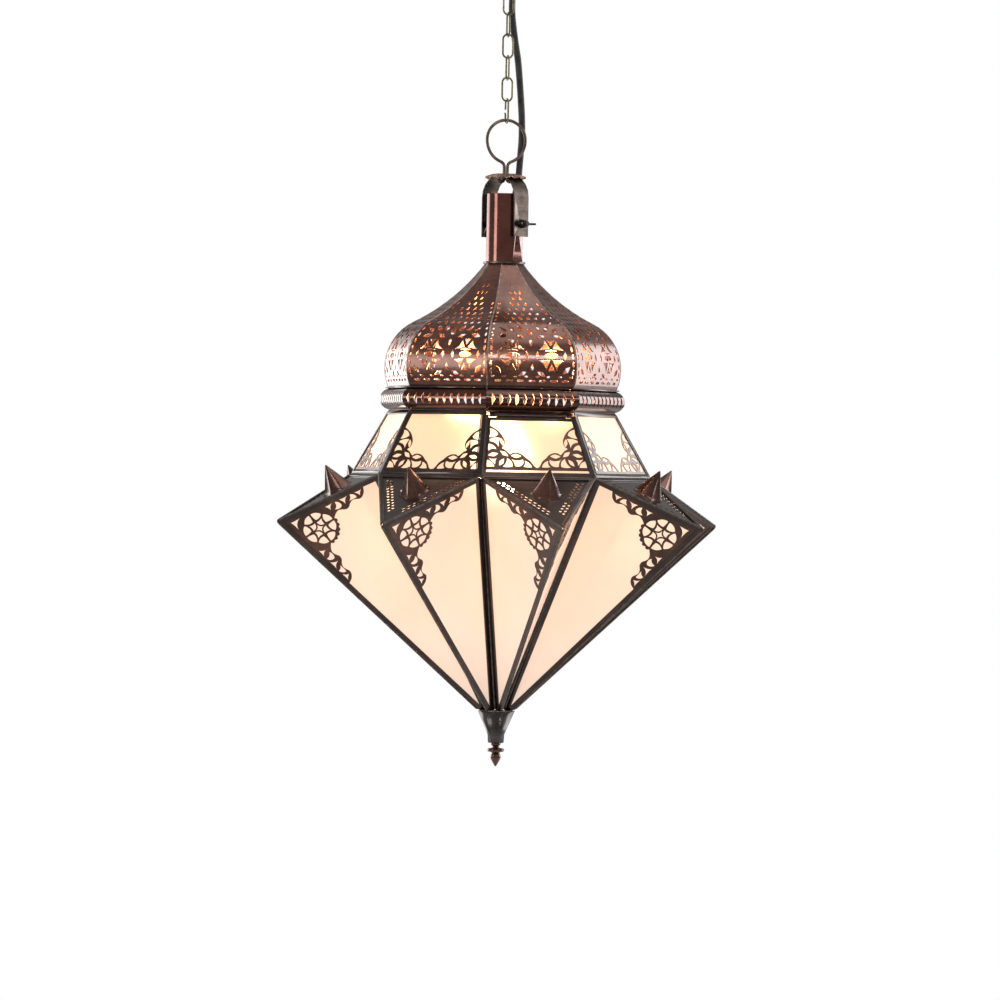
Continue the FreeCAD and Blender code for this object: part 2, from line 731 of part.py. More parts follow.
# Each piercing of a dome panel: its middle across and up, and its half sizes, as shares of the panel.
DOME_PETAL_SHARES = [
    (0.0, 0.335, 0.050, 0.055), (0.0, 0.155, 0.050, 0.055),
    (-0.155, 0.245, 0.085, 0.032), (0.155, 0.245, 0.085, 0.032),
    (-0.42, 0.33, 0.07, 0.05), (0.42, 0.33, 0.07, 0.05), (-0.42, 0.14, 0.08, 0.05), (0.42, 0.14, 0.08, 0.05),
    (0.0, 0.52, 0.05, 0.06),
]


def slot(middle, half_across, half_up, depth):
    """A four-sided piercing cut along Y."""
    x, z = middle.x, middle.z
    points = [
        Vector(x - half_across, middle.y, z - half_up), Vector(x + half_across, middle.y, z - half_up),
        Vector(x + half_across, middle.y, z + half_up), Vector(x - half_across, middle.y, z + half_up),
    ]
    return face_through(points).extrude(Vector(0, depth, 0))


def lozenge(middle, half_across, half_up, depth):
    """A four-sided piercing on its point, cut along Y."""
    x, z = middle.x, middle.z
    points = [
        Vector(x, middle.y, z + half_up), Vector(x + half_across, middle.y, z),
        Vector(x, middle.y, z - half_up), Vector(x - half_across, middle.y, z),
    ]
    return face_through(points).extrude(Vector(0, depth, 0))


dome_span = 2 * size("dome_belly_radius") * math.tan(half_side) * flatness
dome_flats = [(radius * flatness, height) for radius, height in dome_profile()]
dome_outline = [
    Vector(-dome_span, -out, dome_foot_level + up)
    for out, up in bent_strip(dome_flats, size("sheet_thickness"))]
dome_blank = face_through(dome_outline).extrude(Vector(2 * dome_span, 0, 0))
dome_blank = dome_blank.common(wedge(
    2 * size("dome_belly_radius"),
    dome_foot_level - size("dome_height"), dome_top_level + size("dome_height"),
    size("seam_gap")))
dome_reach = 2 * size("dome_belly_radius")
piercings = []
for across, up, half_across, half_up in DOME_PETAL_SHARES:
    middle = Vector(across * dome_span, -dome_reach, dome_foot_level + up * size("dome_height"))
    piercings.append(lozenge(middle, half_across * dome_span, half_up * size("dome_height"), dome_reach))
dome_panel = dome_blank.cut(piercings)
for number in range(sides):
    solid_feature(f"dome_panel_{number + 1}", dome_panel.copy(), turned_by(full_side_degrees * number))

# Base ring: a flat eight-sided ring under the dome, whose inner edge carries the bridge
base_outer = size("dome_belly_radius") - size("sheet_thickness")
base_ring = new_body("dome_base_ring", bead_top_level)
base_plan = new_sketch(base_ring, "XY_Plane", "BaseRingPlan")
outline(base_plan, polygon_expressions("Sizes.dome_belly_radius - Sizes.sheet_thickness"))
base_inner = "(Sizes.dome_belly_radius - Sizes.sheet_thickness - Sizes.base_ring_width)"
outline(base_plan, polygon_expressions(base_inner))
pad(base_ring, base_plan, "Sizes.base_ring_thickness")

# Bead band: a bulged strip with upright slots, one length a side
bead_lip_radius = size("dome_belly_radius") - size("bead_lip_inset")
bead_radius = bead_lip_radius + size("bead_bulge")
bead_flat = bead_radius * flatness
bead_lip = bead_lip_radius * flatness
bead_flat_low = (size("bead_height") - size("bead_flat_height")) / 2
bead_section_points = [
    (bead_lip, 0), (bead_flat - size("sheet_thickness"), bead_flat_low * 0.45), (bead_flat, bead_flat_low),
    (bead_flat, size("bead_height") - bead_flat_low),
    (bead_flat - size("sheet_thickness"), size("bead_height") - bead_flat_low * 0.45),
    (bead_lip, size("bead_height")),
]
bead_outer = [Vector(-bead_flat, -out, bead_foot_level + up) for out, up in bead_section_points]
bead_inner = [point + Vector(0, size("sheet_thickness"), 0) for point in reversed(bead_outer)]
bead_blank = face_through(bead_outer + bead_inner).extrude(Vector(2 * bead_flat, 0, 0))
bead_blank = bead_blank.common(wedge(
    2 * bead_radius, bead_foot_level - size("bead_height"), bead_top_level + size("bead_height"),
    size("seam_gap")))
bead_slots = []
slot_count = int(size("bead_slot_count"))
slot_run = 2 * (bead_flat * math.tan(half_side) - size("bead_slot_margin"))
for step in range(slot_count):
    across = slot_run * (step / (slot_count - 1) - 0.5)
    middle = Vector(across, -2 * bead_flat, (bead_foot_level + bead_top_level) / 2)
    bead_slots.append(slot(middle, size("bead_slot_width") / 2, size("bead_slot_height") / 2, 2 * bead_flat))
bead_side = bead_blank.cut(bead_slots)
solid_feature("bead_band", Part.Compound([
    bead_side.transformed(turned_by(full_side_degrees * number).Matrix) for number in range(sides)]))


# Faces of the drum and the star. Each lies in a plane through three corners of the lantern.
class Face:
    """One flat face of the lantern: its corners in its own plane, and how far it turns to each neighbour."""

    def __init__(self, corners, turns):
        self.origin = corners[0]
        self.right = (corners[1] - corners[0]).normalize()
        self.inward = self.right.cross(corners[2] - corners[0]).normalize()
        middle = Vector(0, 0, waist_level - size("star_tip_drop"))
        if self.inward.dot(middle - self.origin) < 0:
            self.inward = self.inward * -1
        self.up = self.inward.cross(self.right)
        self.corners = [self.flat(point) for point in corners]
        self.turns = turns

    def flat(self, point):
        offset = point - self.origin
        return (offset.dot(self.right), offset.dot(self.up))

    def point(self, across, up, depth=0):
        return self.origin + self.right * across + self.up * up + self.inward * depth

    def inset(self, amounts, corners=None):
        """The corners of the outline moved in from each edge by its own amount."""
        corners = corners or self.corners
        count = len(corners)
        middle = (sum(p[0] for p in corners) / count, sum(p[1] for p in corners) / count)
        lines = []
        for i in range(count):
            (ax, ay), (bx, by) = corners[i], corners[(i + 1) % count]
            length = math.hypot(bx - ax, by - ay)
            nx, ny = -(by - ay) / length, (bx - ax) / length
            if nx * (middle[0] - ax) + ny * (middle[1] - ay) < 0:
                nx, ny = -nx, -ny
            lines.append((nx, ny, nx * ax + ny * ay + amounts[i]))
        moved = []
        for i in range(count):
            (a, b, c), (d, e, f) = lines[i - 1], lines[i]
            span = a * e - b * d
            moved.append(((c * e - b * f) / span, (a * f - c * d) / span))
        return moved

    def mitre(self, depth, gap):
        """What each edge gives way by, at a depth, to clear the face beyond a ridge."""
        return [gap / 2 + depth * max(0, math.tan(math.radians(turn) / 2)) for turn in self.turns]

    def slab(self, front, back, front_depth, back_depth):
        near = [self.point(across, up, front_depth) for across, up in front]
        far = [self.point(across, up, back_depth) for across, up in back]
        return skin_between([near, far], False)

    def plate(self, points, front_depth, back_depth):
        return self.slab(points, points, front_depth, back_depth)


def distance(one, other):
    return math.hypot(other[0] - one[0], other[1] - one[1])


def corner_cuts(points):
    """How much each corner loses, less where an edge is short."""
    count = len(points)
    cuts = []
    for i, point in enumerate(points):
        shorter = min(distance(point, points[i - 1]), distance(point, points[(i + 1) % count]))
        cuts.append(min(size("corner_trim"), shorter * 0.3))
    return cuts


def trimmed(points, cuts):
    """The outline with each corner cut off, so that the corners where many faces meet stay clear."""
    result = []
    count = len(points)
    for i, (x, y) in enumerate(points):
        for other in (points[i - 1], points[(i + 1) % count]):
            share = cuts[i] / distance((x, y), other)
            result.append((x + (other[0] - x) * share, y + (other[1] - y) * share))
    return result


def framed(face, window):
    """A soldered frame of flat bars round one face; its edges lean back from the faces beyond the ridges."""
    gap = size("solder_gap")
    depth = size("frame_depth")
    back = face.inset(face.mitre(depth, gap))
    cuts = corner_cuts(back)
    front = trimmed(face.inset(face.mitre(0, gap)), cuts)
    blank = face.slab(front, trimmed(back, cuts), 0, depth)
    return blank.cut(face.plate(window, -depth, 2 * depth))


def pane(face, widths):
    """The glass behind a frame, held by a lap all round."""
    edges = [width - size("glass_overlap") for width in widths]
    front_depth = size("frame_depth")
    return face.plate(face.inset(edges), front_depth, front_depth + size("glass_thickness"))


def repeated(shape):
    return [shape.transformed(turned_by(full_side_degrees * number).Matrix) for number in range(sides)]


half_degrees = full_side_degrees / 2
drum_left, drum_right = [
    corner(turn, bead_lip_radius, drum_top_level) for turn in (-half_degrees, half_degrees)]
waist_left, waist_right = [
    corner(turn, size("waist_radius"), waist_level) for turn in (-half_degrees, half_degrees)]
tip = corner(0, size("star_radius"), star_tip_level)
next_tip = corner(full_side_degrees, size("star_radius"), star_tip_level)
apex = Vector(0, 0, apex_level)


def outward_normal(a, b, c):
    normal = (b - a).cross(c - a).normalize()
    inside = Vector(0, 0, waist_level - size("star_tip_drop"))
    return normal if normal.dot(a - inside) > 0 else normal * -1


def turn_between(first, second):
    return math.degrees(first.getAngle(second))


drum_normal = outward_normal(drum_left, drum_right, waist_right)
plate_normal = outward_normal(tip, waist_left, waist_right)
lower_right_normal = outward_normal(tip, waist_right, apex)
lower_left_normal = outward_normal(tip, waist_left, apex)
quarter = turned_by(full_side_degrees).Rotation
ridge_turn = turn_between(lower_right_normal, lower_left_normal)
valley_turn = -turn_between(lower_right_normal, quarter.multVec(lower_left_normal))
edge_turn = turn_between(plate_normal, lower_right_normal)
waist_turn = -turn_between(drum_normal, plate_normal)
drum_turn = turn_between(drum_normal, quarter.multVec(drum_normal))

drum_face = Face([drum_left, drum_right, waist_right, waist_left], [0, drum_turn, waist_turn, drum_turn])
plate_face = Face([waist_left, waist_right, tip], [waist_turn, edge_turn, edge_turn])


def cut_point(start):
    """The point where an edge that runs to the apex is cut off for the collar."""
    share = (start.z - cut_level) / (start.z - apex.z)
    return start + (apex - start) * share


lower_right = Face(
    [tip, waist_right, cut_point(waist_right), cut_point(tip)], [edge_turn, valley_turn, 0, ridge_turn])
lower_left = Face(
    [tip, waist_left, cut_point(waist_left), cut_point(tip)], [edge_turn, valley_turn, 0, ridge_turn])

drum_widths = [size("drum_frame_width")] * 4
plate_widths = [size("plate_frame_width")] * 3
lower_width = size("lower_frame_width")


def lower_outline(face, width):
    """The outline of one lower triangle moved in by a width; it ends in a point above the cut."""
    return face.inset([width] * 3, [face.corners[0], face.corners[1], face.flat(apex)])


def lower_pane(face):
    front_depth = size("frame_depth")
    return face.plate(
        lower_outline(face, lower_width - size("glass_overlap")),
        front_depth, front_depth + size("glass_thickness"))


right_window = lower_outline(lower_right, lower_width)
left_window = lower_outline(lower_left, lower_width)
right_frame = framed(lower_right, right_window)
left_frame = framed(lower_left, left_window)

fixed_sides = range(1, sides)
drum_frame_shape = framed(drum_face, drum_face.inset(drum_widths))
drum_pane_shape = pane(drum_face, drum_widths)
solid_feature("drum_frames", Part.Compound([repeated(drum_frame_shape)[number] for number in fixed_sides]))
solid_feature("drum_glass", Part.Compound([repeated(drum_pane_shape)[number] for number in fixed_sides]))
solid_feature(
    "star_plate_frames", Part.Compound(repeated(framed(plate_face, plate_face.inset(plate_widths)))))
solid_feature("lower_frames", Part.Compound(repeated(right_frame) + repeated(left_frame)))
solid_feature(
    "lower_glass", Part.Compound(repeated(lower_pane(lower_right)) + repeated(lower_pane(lower_left))))


# Star plates: pierced triangles of sheet inside their frames, with slots along the two outer edges
def star_plate():
    edges = [width - size("glass_overlap") for width in plate_widths]
    front_depth = size("frame_depth")
    outline_points = plate_face.inset(edges)
    blank = plate_face.plate(outline_points, front_depth, front_depth + size("plate_thickness"))
    window = plate_face.inset([width + size("plate_slot_margin") for width in plate_widths])
    slots = []
    for start, end, count in ((window[0], window[2], 4), (window[1], window[2], 4)):
        length = math.hypot(end[0] - start[0], end[1] - start[1])
        along = ((end[0] - start[0]) / length, (end[1] - start[1]) / length)
        side = (-along[1], along[0])
        half_long = min(size("plate_slot_length"), 0.7 * length / count) / 2
        half_wide = size("plate_slot_width") / 2
        for step in range(count):
            reach = length * (step + 0.5) / count * 0.86 + length * 0.03
            x, y = start[0] + along[0] * reach, start[1] + along[1] * reach
            points = [
                (x - along[0] * half_long, y - along[1] * half_long),
                (x + side[0] * half_wide, y + side[1] * half_wide),
                (x + along[0] * half_long, y + along[1] * half_long),
                (x - side[0] * half_wide, y - side[1] * half_wide),
            ]
            slots.append(plate_face.plate(points, 0, 2 * front_depth + size("plate_thickness")))
    return blank.cut(slots)


solid_feature("star_plates", Part.Compound(repeated(star_plate())))


# Spikes: a fluted sheet cone that stands square on each star plate
def spike():
    plate_middle = (waist_left + waist_right) * 0.5
    down_slope = (tip - plate_middle).normalize()
    foot = plate_middle + down_slope * size("spike_offset") + plate_face.inward * size("frame_depth")
    flute_count = sides
    rim, base = [], []
    for step in range(2 * flute_count):
        angle = math.pi * step / flute_count
        reach = size("spike_radius") * (0.86 if step % 2 else 1)
        direction = down_slope * math.cos(angle) + RIGHT * math.sin(angle)
        base.append(foot + direction * reach)
    point = foot - plate_face.inward * (size("spike_height") + size("frame_depth"))
    faces = [face_through(base)]
    for step in range(2 * flute_count):
        faces.append(face_through([base[step], base[(step + 1) % (2 * flute_count)], point]))
    return closed_solid(faces)


solid_feature("spikes", Part.Compound(repeated(spike())))


# Filigree: pierced corners laid on the glass, each a wheel between two scalloped arms
# Each lobe of an arm: its middle along the arm, and its radius, both as shares.
LOBE_SHARES = [(0.72, 1.0)]
# A petal of the wheel: reach and half width, as shares of the wheel's radius.
PETAL_SHARES = [(0.17, 0), (0.70, 0.36), (0.70, -0.36)]


def unit(a, b):
    length = distance(a, b)
    return ((b[0] - a[0]) / length, (b[1] - a[1]) / length), length


def moved(point, direction, reach):
    return (point[0] + direction[0] * reach, point[1] + direction[1] * reach)


def square_to(along, towards):
    """The direction square to another, on the side of a third."""
    side = (-along[1], along[0])
    facing = towards[0] * side[0] + towards[1] * side[1]
    return side if facing > 0 else (along[1], -along[0])


def corner_filigree(face, at, one, other, reach_one, reach_other):
    """The sheets and the openings of one corner, with arms of given reach towards two others."""
    front_depth = size("frame_depth")
    thickness = size("filigree_thickness")
    wheel = size("filigree_wheel_radius")

    def cutter(points):
        return face.plate(points, front_depth - 2 * thickness, front_depth + thickness)

    def sheet_of(points):
        return face.plate(points, front_depth - thickness, front_depth)

    along_one = unit(at, one)[0]
    along_other = unit(at, other)[0]
    bisector = unit((0, 0), (along_one[0] + along_other[0], along_one[1] + along_other[1]))[0]
    half_angle = math.acos(bisector[0] * along_one[0] + bisector[1] * along_one[1])
    middle = moved(at, bisector, wheel / math.sin(half_angle))
    touch = wheel / math.tan(half_angle)
    rim_count = 8
    rim = []
    for step in range(rim_count):
        angle = 2 * math.pi * (step + 0.5) / rim_count
        rim.append(moved(middle, (math.cos(angle), math.sin(angle)), wheel))
    corner_piece = [at, moved(at, along_one, touch), middle, moved(at, along_other, touch)]
    sheets = [sheet_of(rim), sheet_of(corner_piece)]
    openings = []
    spoke_count = 3
    turn = math.atan2(bisector[1], bisector[0])
    for step in range(spoke_count):
        angle = turn + 2 * math.pi * step / spoke_count
        direction = (math.cos(angle), math.sin(angle))
        across = (-direction[1], direction[0])
        openings.append(cutter([
            moved(moved(middle, direction, wheel * out), across, wheel * half)
            for out, half in PETAL_SHARES]))
    for along, inward, reach in (
            (along_one, square_to(along_one, bisector), reach_one),
            (along_other, square_to(along_other, bisector), reach_other)):
        bar = size("filigree_bar")
        sheets.append(sheet_of([
            moved(at, along, touch * 0.5), moved(at, along, reach),
            moved(moved(at, along, reach), inward, bar * 0.4),
            moved(moved(at, along, touch), inward, bar * 2)]))
        for share, radius_share in LOBE_SHARES:
            lobe = size("filigree_lobe_radius") * radius_share
            foot = moved(at, along, touch + (reach - touch) * share)
            arch = []
            hole = []
            for turn_share in (0, 0.3, 0.7, 1):
                angle = math.pi * turn_share
                out, up = math.cos(angle), math.sin(angle)
                arch.append(moved(moved(foot, along, lobe * out), inward, lobe * up))
            for out, up in ((0.5, 0.22), (0, 0.74), (-0.5, 0.22)):
                hole.append(moved(moved(foot, along, lobe * out), inward, lobe * up))
            sheets.append(sheet_of(arch))
            if radius_share == 1:
                openings.append(cutter(hole))
    return sheets, openings


def joined(corners, bounds):
    """One pierced sheet from its corners, kept inside the window."""
    sheets = [piece for corner_sheets, _ in corners for piece in corner_sheets]
    openings = [piece for _, corner_openings in corners for piece in corner_openings]
    whole = sheets[0].fuse(sheets[1:]).removeSplitter()
    return whole.common(bounds).cut(openings).removeSplitter()


def lower_filigree(face):
    play = size("lay_play")
    depth = size("frame_depth")
    window = lower_outline(face, lower_width + play)
    bounds = face.plate(window, -depth, 2 * depth)
    top_reach = distance(window[0], window[1]) * 0.72
    corners = [corner_filigree(face, window[0], window[1], window[2], top_reach, size("filigree_arm_reach"))]
    return joined(corners, bounds)


solid_feature("lower_filigree", Part.Compound(
    repeated(lower_filigree(lower_right)) + repeated(lower_filigree(lower_left))))


def drum_filigree():
    """Both lower corners of a drum panel, whose arms meet in the middle."""
    play = size("lay_play")
    depth = size("frame_depth")
    window = drum_face.inset([width + play for width in drum_widths])
    bounds = drum_face.plate(window, -depth, 2 * depth)
    top_left, top_right, low_right, low_left = window
    foot_reach = distance(low_left, low_right) * 0.55
    side_reach = distance(low_left, top_left) * 0.8
    return joined([
        corner_filigree(drum_face, low_left, low_right, top_left, foot_reach, side_reach),
        corner_filigree(drum_face, low_right, low_left, top_right, foot_reach, side_reach),
    ], bounds)


drum_filigree_shape = drum_filigree()
solid_feature(
    "drum_filigree", Part.Compound([repeated(drum_filigree_shape)[number] for number in fixed_sides]))

# Door: the drum panel that faces -Y, hinged under a fixed lintel
hinge_down = size("lintel_width") + size("solder_gap") + size("knuckle_radius")
hinge_depth = -size("solder_gap")
drum_slope = drum_face.up if drum_face.up.z < 0 else drum_face.up * -1
hinge_point = (
    Vector(0, drum_left.y, drum_top_level) + drum_slope * hinge_down + drum_face.inward * hinge_depth)
half_top = drum_right.x
half_rail = half_top + hinge_down * math.sin(half_side) * 0.5 - size("knuckle_radius") * 2


def across_bar(start, end, radius):
    return Part.makeCylinder(radius, end - start, hinge_point + RIGHT * start, RIGHT)


def knuckle(start, end):
    rolled = turned([(size("knuckle_radius"), start), (size("knuckle_radius"), end)], 8)
    rolled.Placement = Placement(hinge_point, Rotation(BACK, 90))
    return rolled


def face_box(left, right, top, foot, front_depth, back_depth):
    """A flat bar in the drum face, measured across and down from the middle of its top edge."""
    start = Vector(0, drum_left.y, drum_top_level)
    rings = []
    for depth in (front_depth, back_depth):
        ring = []
        for across, down in ((left, top), (right, top), (right, foot), (left, foot)):
            ring.append(start + RIGHT * across + drum_slope * down + drum_face.inward * depth)
        rings.append(ring)
    return skin_between(rings, False)


pin_hole = size("pin_radius") + size("pin_play")
frame_depth = size("frame_depth")
lintel_top = size("solder_gap") / 2
lintel_half = half_top - size("corner_trim")
outer_knuckle = half_rail
inner_knuckle = half_rail - size("knuckle_length")
lintel_parts = [face_box(-lintel_half, lintel_half, lintel_top, size("lintel_width"), 0, frame_depth)]
for side in (1, -1):
    low, high = sorted((side * inner_knuckle, side * outer_knuckle))
    lintel_parts.append(knuckle(low, high))
    lintel_parts.append(face_box(
        low, high, size("lintel_width") / 2, hinge_down, 0, size("knuckle_radius") + hinge_depth))
lintel = lintel_parts[0].fuse(lintel_parts[1:])
lintel = lintel.cut(across_bar(-2 * half_rail, 2 * half_rail, pin_hole)).removeSplitter()
solid_feature("door_lintel", lintel)
solid_feature("door_hinge_pin", across_bar(-outer_knuckle, outer_knuckle, size("pin_radius")))

door_top = hinge_down
door_widths = [door_top + size("drum_frame_width")] + drum_widths[1:]
door_window = drum_face.inset(door_widths)
door_blank = framed(drum_face, door_window)
reach = 2 * size("waist_radius")
door_blank = door_blank.cut(face_box(-reach, reach, -hinge_down, door_top, -frame_depth, 3 * frame_depth))
clear_of_knuckle = size("knuckle_radius") + size("solder_gap")
for side in (1, -1):
    low, high = sorted((side * (inner_knuckle - size("solder_gap")), side * reach))
    door_blank = door_blank.cut(face_box(
        low, high, -hinge_down, hinge_down + clear_of_knuckle, -frame_depth, 3 * frame_depth))
door_knuckle_half = inner_knuckle - size("solder_gap")
door_knuckle = knuckle(-door_knuckle_half, door_knuckle_half)
door_tab = face_box(
    -door_knuckle_half, door_knuckle_half, hinge_down, hinge_down + clear_of_knuckle, 0,
    size("knuckle_radius") + hinge_depth)
door = door_blank.fuse([door_knuckle, door_tab])
door = door.cut(across_bar(-2 * half_rail, 2 * half_rail, pin_hole)).removeSplitter()
solid_feature("door_frame", door)
door_glass_edges = [width - size("glass_overlap") for width in door_widths]
solid_feature("door_glass", drum_face.plate(
    drum_face.inset(door_glass_edges), frame_depth, frame_depth + size("glass_thickness")))
raised = drum_filigree_shape.translated(drum_slope * -size("filigree_bar"))
inside_door = drum_face.plate(
    drum_face.inset([width + size("lay_play") for width in door_widths]), -frame_depth, 3 * frame_depth)
solid_feature("door_filigree", raised.common(inside_door))

# Collar and finial under the star; the collar's rim is as wide as the star where it is cut off
collar_top = cut_level - size("solder_gap")
collar_radius = size("star_radius") * size("cut_above_apex") / (star_tip_level - apex_level)
collar_profile = [
    (size("collar_foot_radius") * 0.95,
     collar_top - size("collar_taper_height") - size("collar_foot_height")),
    (size("collar_foot_radius"), collar_top - size("collar_taper_height")),
    (collar_radius, collar_top),
]
collar = turned(collar_profile, sides)
wall = size("collar_plate_thickness")
hollow = turned([
    (size("collar_foot_radius") - wall, collar_top - size("collar_taper_height") + wall),
    (collar_radius - wall, collar_top - wall),
], sides)
solid_feature("bottom_collar", collar.cut(hollow), turned_by(half_degrees))

finial_top = collar_top - size("collar_taper_height") - size("collar_foot_height")
# The finial's outline: each radius as a share of its disc and each depth as a share of its length.
FINIAL_OUTLINE_SHARES = [
    (0.88, 0.0), (0.88, 0.055), (0.76, 0.12), (0.63, 0.28), (0.93, 0.33), (1.0, 0.375), (0.93, 0.43),
    (0.62, 0.48), (0.5, 0.62), (0.44, 0.68), (0.16, 1.0)]
solid_feature("finial", turned([
    (size("finial_disc_radius") * across, finial_top - size("finial_length") * down)
    for across, down in FINIAL_OUTLINE_SHARES], 12))

# Bridge across the dome's foot, with the lamp holder hung from its middle
bridge = new_body("holder_bridge", dome_foot_level)
bridge_side = new_sketch(bridge, "XZ_Plane", "BridgeSide")
top = "Sizes.bridge_rise + Sizes.bridge_thickness"
leg = f"({base_inner} * cos(180 / Sizes.sides) - Sizes.bridge_leg_inset)"
outline(bridge_side, [
    (f"-{leg} - Sizes.bridge_foot", "0"),
    (f"-{leg} + Sizes.bridge_thickness", "0"),
    (f"-{leg} + Sizes.bridge_thickness", "Sizes.bridge_rise"),
    (f"{leg} - Sizes.bridge_thickness", "Sizes.bridge_rise"),
    (f"{leg} - Sizes.bridge_thickness", "0"),
    (f"{leg} + Sizes.bridge_foot", "0"),
    (f"{leg} + Sizes.bridge_foot", "Sizes.bridge_thickness"),
    (leg, "Sizes.bridge_thickness"),
    (leg, top),
    (f"-{leg}", top),
    (f"-{leg}", "Sizes.bridge_thickness"),
    (f"-{leg} - Sizes.bridge_foot", "Sizes.bridge_thickness"),
])
pad(bridge, bridge_side, "Sizes.bridge_width", midplane=True)
bridge_hole = new_sketch(bridge, "XY_Plane", "BridgeHole")
circle(bridge_hole, "0", "0", "Sizes.nipple_radius + Sizes.bolt_play")
pocket_through(bridge, bridge_hole)


nipple_top = bridge_top_level + size("nipple_above")
nipple_foot = nipple_top - size("nipple_length")
holder_facets = 12
holder_bore = size("bulb_cap_radius") + size("bulb_play")
holder_shell_radius = holder_bore + size("holder_shell_wall")
holder_cap_radius = holder_shell_radius + size("holder_cap_lip")
solid_feature("threaded_nipple", turned_hollow([
    (size("nipple_bore"), nipple_top), (size("nipple_radius"), nipple_top),
    (size("nipple_radius"), nipple_foot), (size("nipple_bore"), nipple_foot)], holder_facets))
lock_nut = new_body("lock_nut", bridge_top_level)
lock_nut_plan = new_sketch(lock_nut, "XY_Plane", "LockNutPlan")
outline(lock_nut_plan, [
    (f"Sizes.lock_nut_radius * cos({turn})", f"Sizes.lock_nut_radius * sin({turn})")
    for turn in (30, 90, 150, 210, 270, 330)])
outline(lock_nut_plan, [
    (f"(Sizes.nipple_radius + Sizes.pin_play) / cos(180 / 12) * cos({turn})",
     f"(Sizes.nipple_radius + Sizes.pin_play) / cos(180 / 12) * sin({turn})") for turn in range(15, 375, 30)])
pad(lock_nut, lock_nut_plan, "Sizes.lock_nut_height")
grip_bore = size("flex_radius") + size("flex_hole_play")
grip_top = nipple_top + size("cord_grip_height")
solid_feature("cord_grip", turned_hollow([
    (grip_bore, nipple_top), (size("cord_grip_radius"), nipple_top),
    (size("cord_grip_radius"), grip_top - size("cord_grip_height") * 0.3),
    (size("cord_grip_radius") * 0.75, grip_top), (grip_bore, grip_top)], holder_facets))
cap_top = bridge_top_level - size("bridge_thickness")
cap_foot = cap_top - size("holder_cap_height")
cap_shoulder = cap_top - size("holder_cap_height") * 0.45
cap_wall = size("holder_wall")
cap_bore = size("nipple_radius") + size("bolt_play")
solid_feature("lampholder_cap", turned_hollow([
    (cap_bore, cap_top), (holder_cap_radius * 0.6, cap_top),
    (holder_cap_radius, cap_shoulder), (holder_cap_radius, cap_foot),
    (holder_cap_radius - cap_wall, cap_foot), (holder_cap_radius - cap_wall, cap_shoulder - cap_wall / 2),
    (holder_cap_radius * 0.6 - cap_wall / 2, cap_top - cap_wall),
    (cap_bore, cap_top - cap_wall)], holder_facets))
shell_foot = cap_foot - size("holder_shell_height")
solid_feature("lampholder_shell", turned_hollow([
    (holder_bore, cap_foot), (holder_shell_radius, cap_foot),
    (holder_shell_radius, shell_foot), (holder_bore, shell_foot)], holder_facets))
bulb_top = cap_foot - cap_wall
bulb_cap_foot = bulb_top - size("bulb_cap_height")
solid_feature("bulb_cap", turned([
    (size("bulb_cap_radius") * 0.5, bulb_top),
    (size("bulb_cap_radius"), bulb_top - size("bulb_cap_height") * 0.25),
    (size("bulb_cap_radius"), bulb_cap_foot)], holder_facets))
# The bulb's outline: each radius and depth as shares of its largest radius and its length.
BULB_OUTLINE_SHARES = [
    (0.30, 1.0), (0.70, 0.93), (0.94, 0.77), (1.0, 0.60), (0.92, 0.42), (0.66, 0.20), (0.46, 0.0)]
bulb_glass_top = bulb_cap_foot
bulb_outline = [
    (size("bulb_radius") * across, bulb_glass_top - size("bulb_length") * down)
    for across, down in BULB_OUTLINE_SHARES]
bulb_hollow = [(radius - size("bulb_wall"), level) for radius, level in bulb_outline]
bulb_hollow[0] = (bulb_hollow[0][0], bulb_hollow[0][1] + size("bulb_wall"))
bulb_hollow[-1] = (bulb_hollow[-1][0], bulb_hollow[-1][1] + size("bulb_wall"))
solid_feature("bulb_glass", turned(bulb_outline, 10).cut(turned(bulb_hollow, 10)))


# Flex: straight runs joined by arcs that touch both
def cord_tube(points, radius):
    """A round tube along a route, with an arc at each turn sized by the shorter run beside it."""
    edges = []
    previous = points[0]
    for i in range(1, len(points) - 1):
        at = points[i]
        into = at - points[i - 1]
        out_of = points[i + 1] - at
        turn = into.getAngle(out_of)
        cut = 0.45 * min(into.Length, out_of.Length)
        start = at - into.normalize() * cut
        end = at + out_of.normalize() * cut
        arc_radius = cut / math.tan(turn / 2)
        towards = ((start + end) * 0.5 - at).normalize()
        centre_reach = math.hypot(arc_radius, cut)
        middle = at + towards * (centre_reach - arc_radius)
        edges.append(Part.makeLine(previous, start))
        edges.append(Part.Arc(start, middle, end).toShape())
        previous = end
    edges.append(Part.makeLine(previous, points[-1]))
    path = Part.Wire(edges)
    profile = Part.Wire([Part.makeCircle(radius, points[0], points[1] - points[0])])
    tube = path.makePipeShell([profile], True, False)
    return tube


def along_way(places, shares, start, end):
    """Points over places in plan, each at its share of the way from one level down to another."""
    return [Vector(x, y, start + (end - start) * share) for (x, y), share in zip(places, shares)]


flex_entry_at = (size("canopy_hole_x"), size("canopy_hole_y"))
flex_middle = (size("flex_middle_x"), size("flex_middle_y"))
flex_bow = (size("flex_bow_x"), size("flex_bow_y"))
flex_exit_at = (size("flex_hole_x"), size("flex_hole_y"))
flex_neck = (size("flex_neck_x"), size("flex_neck_y"))
# The hanging flex: out of the canopy, out to the right of the chain, and back to the rosette's hole.
HANGING_SHARES = [-0.027, 0.127, 0.479, 0.783, 0.993]
hanging_route = along_way(
    [flex_entry_at, flex_entry_at, flex_middle, flex_bow, flex_exit_at],
    HANGING_SHARES, canopy_foot, rosette_top_level)
solid_feature("flex_cable", cord_tube(hanging_route, size("flex_radius")))

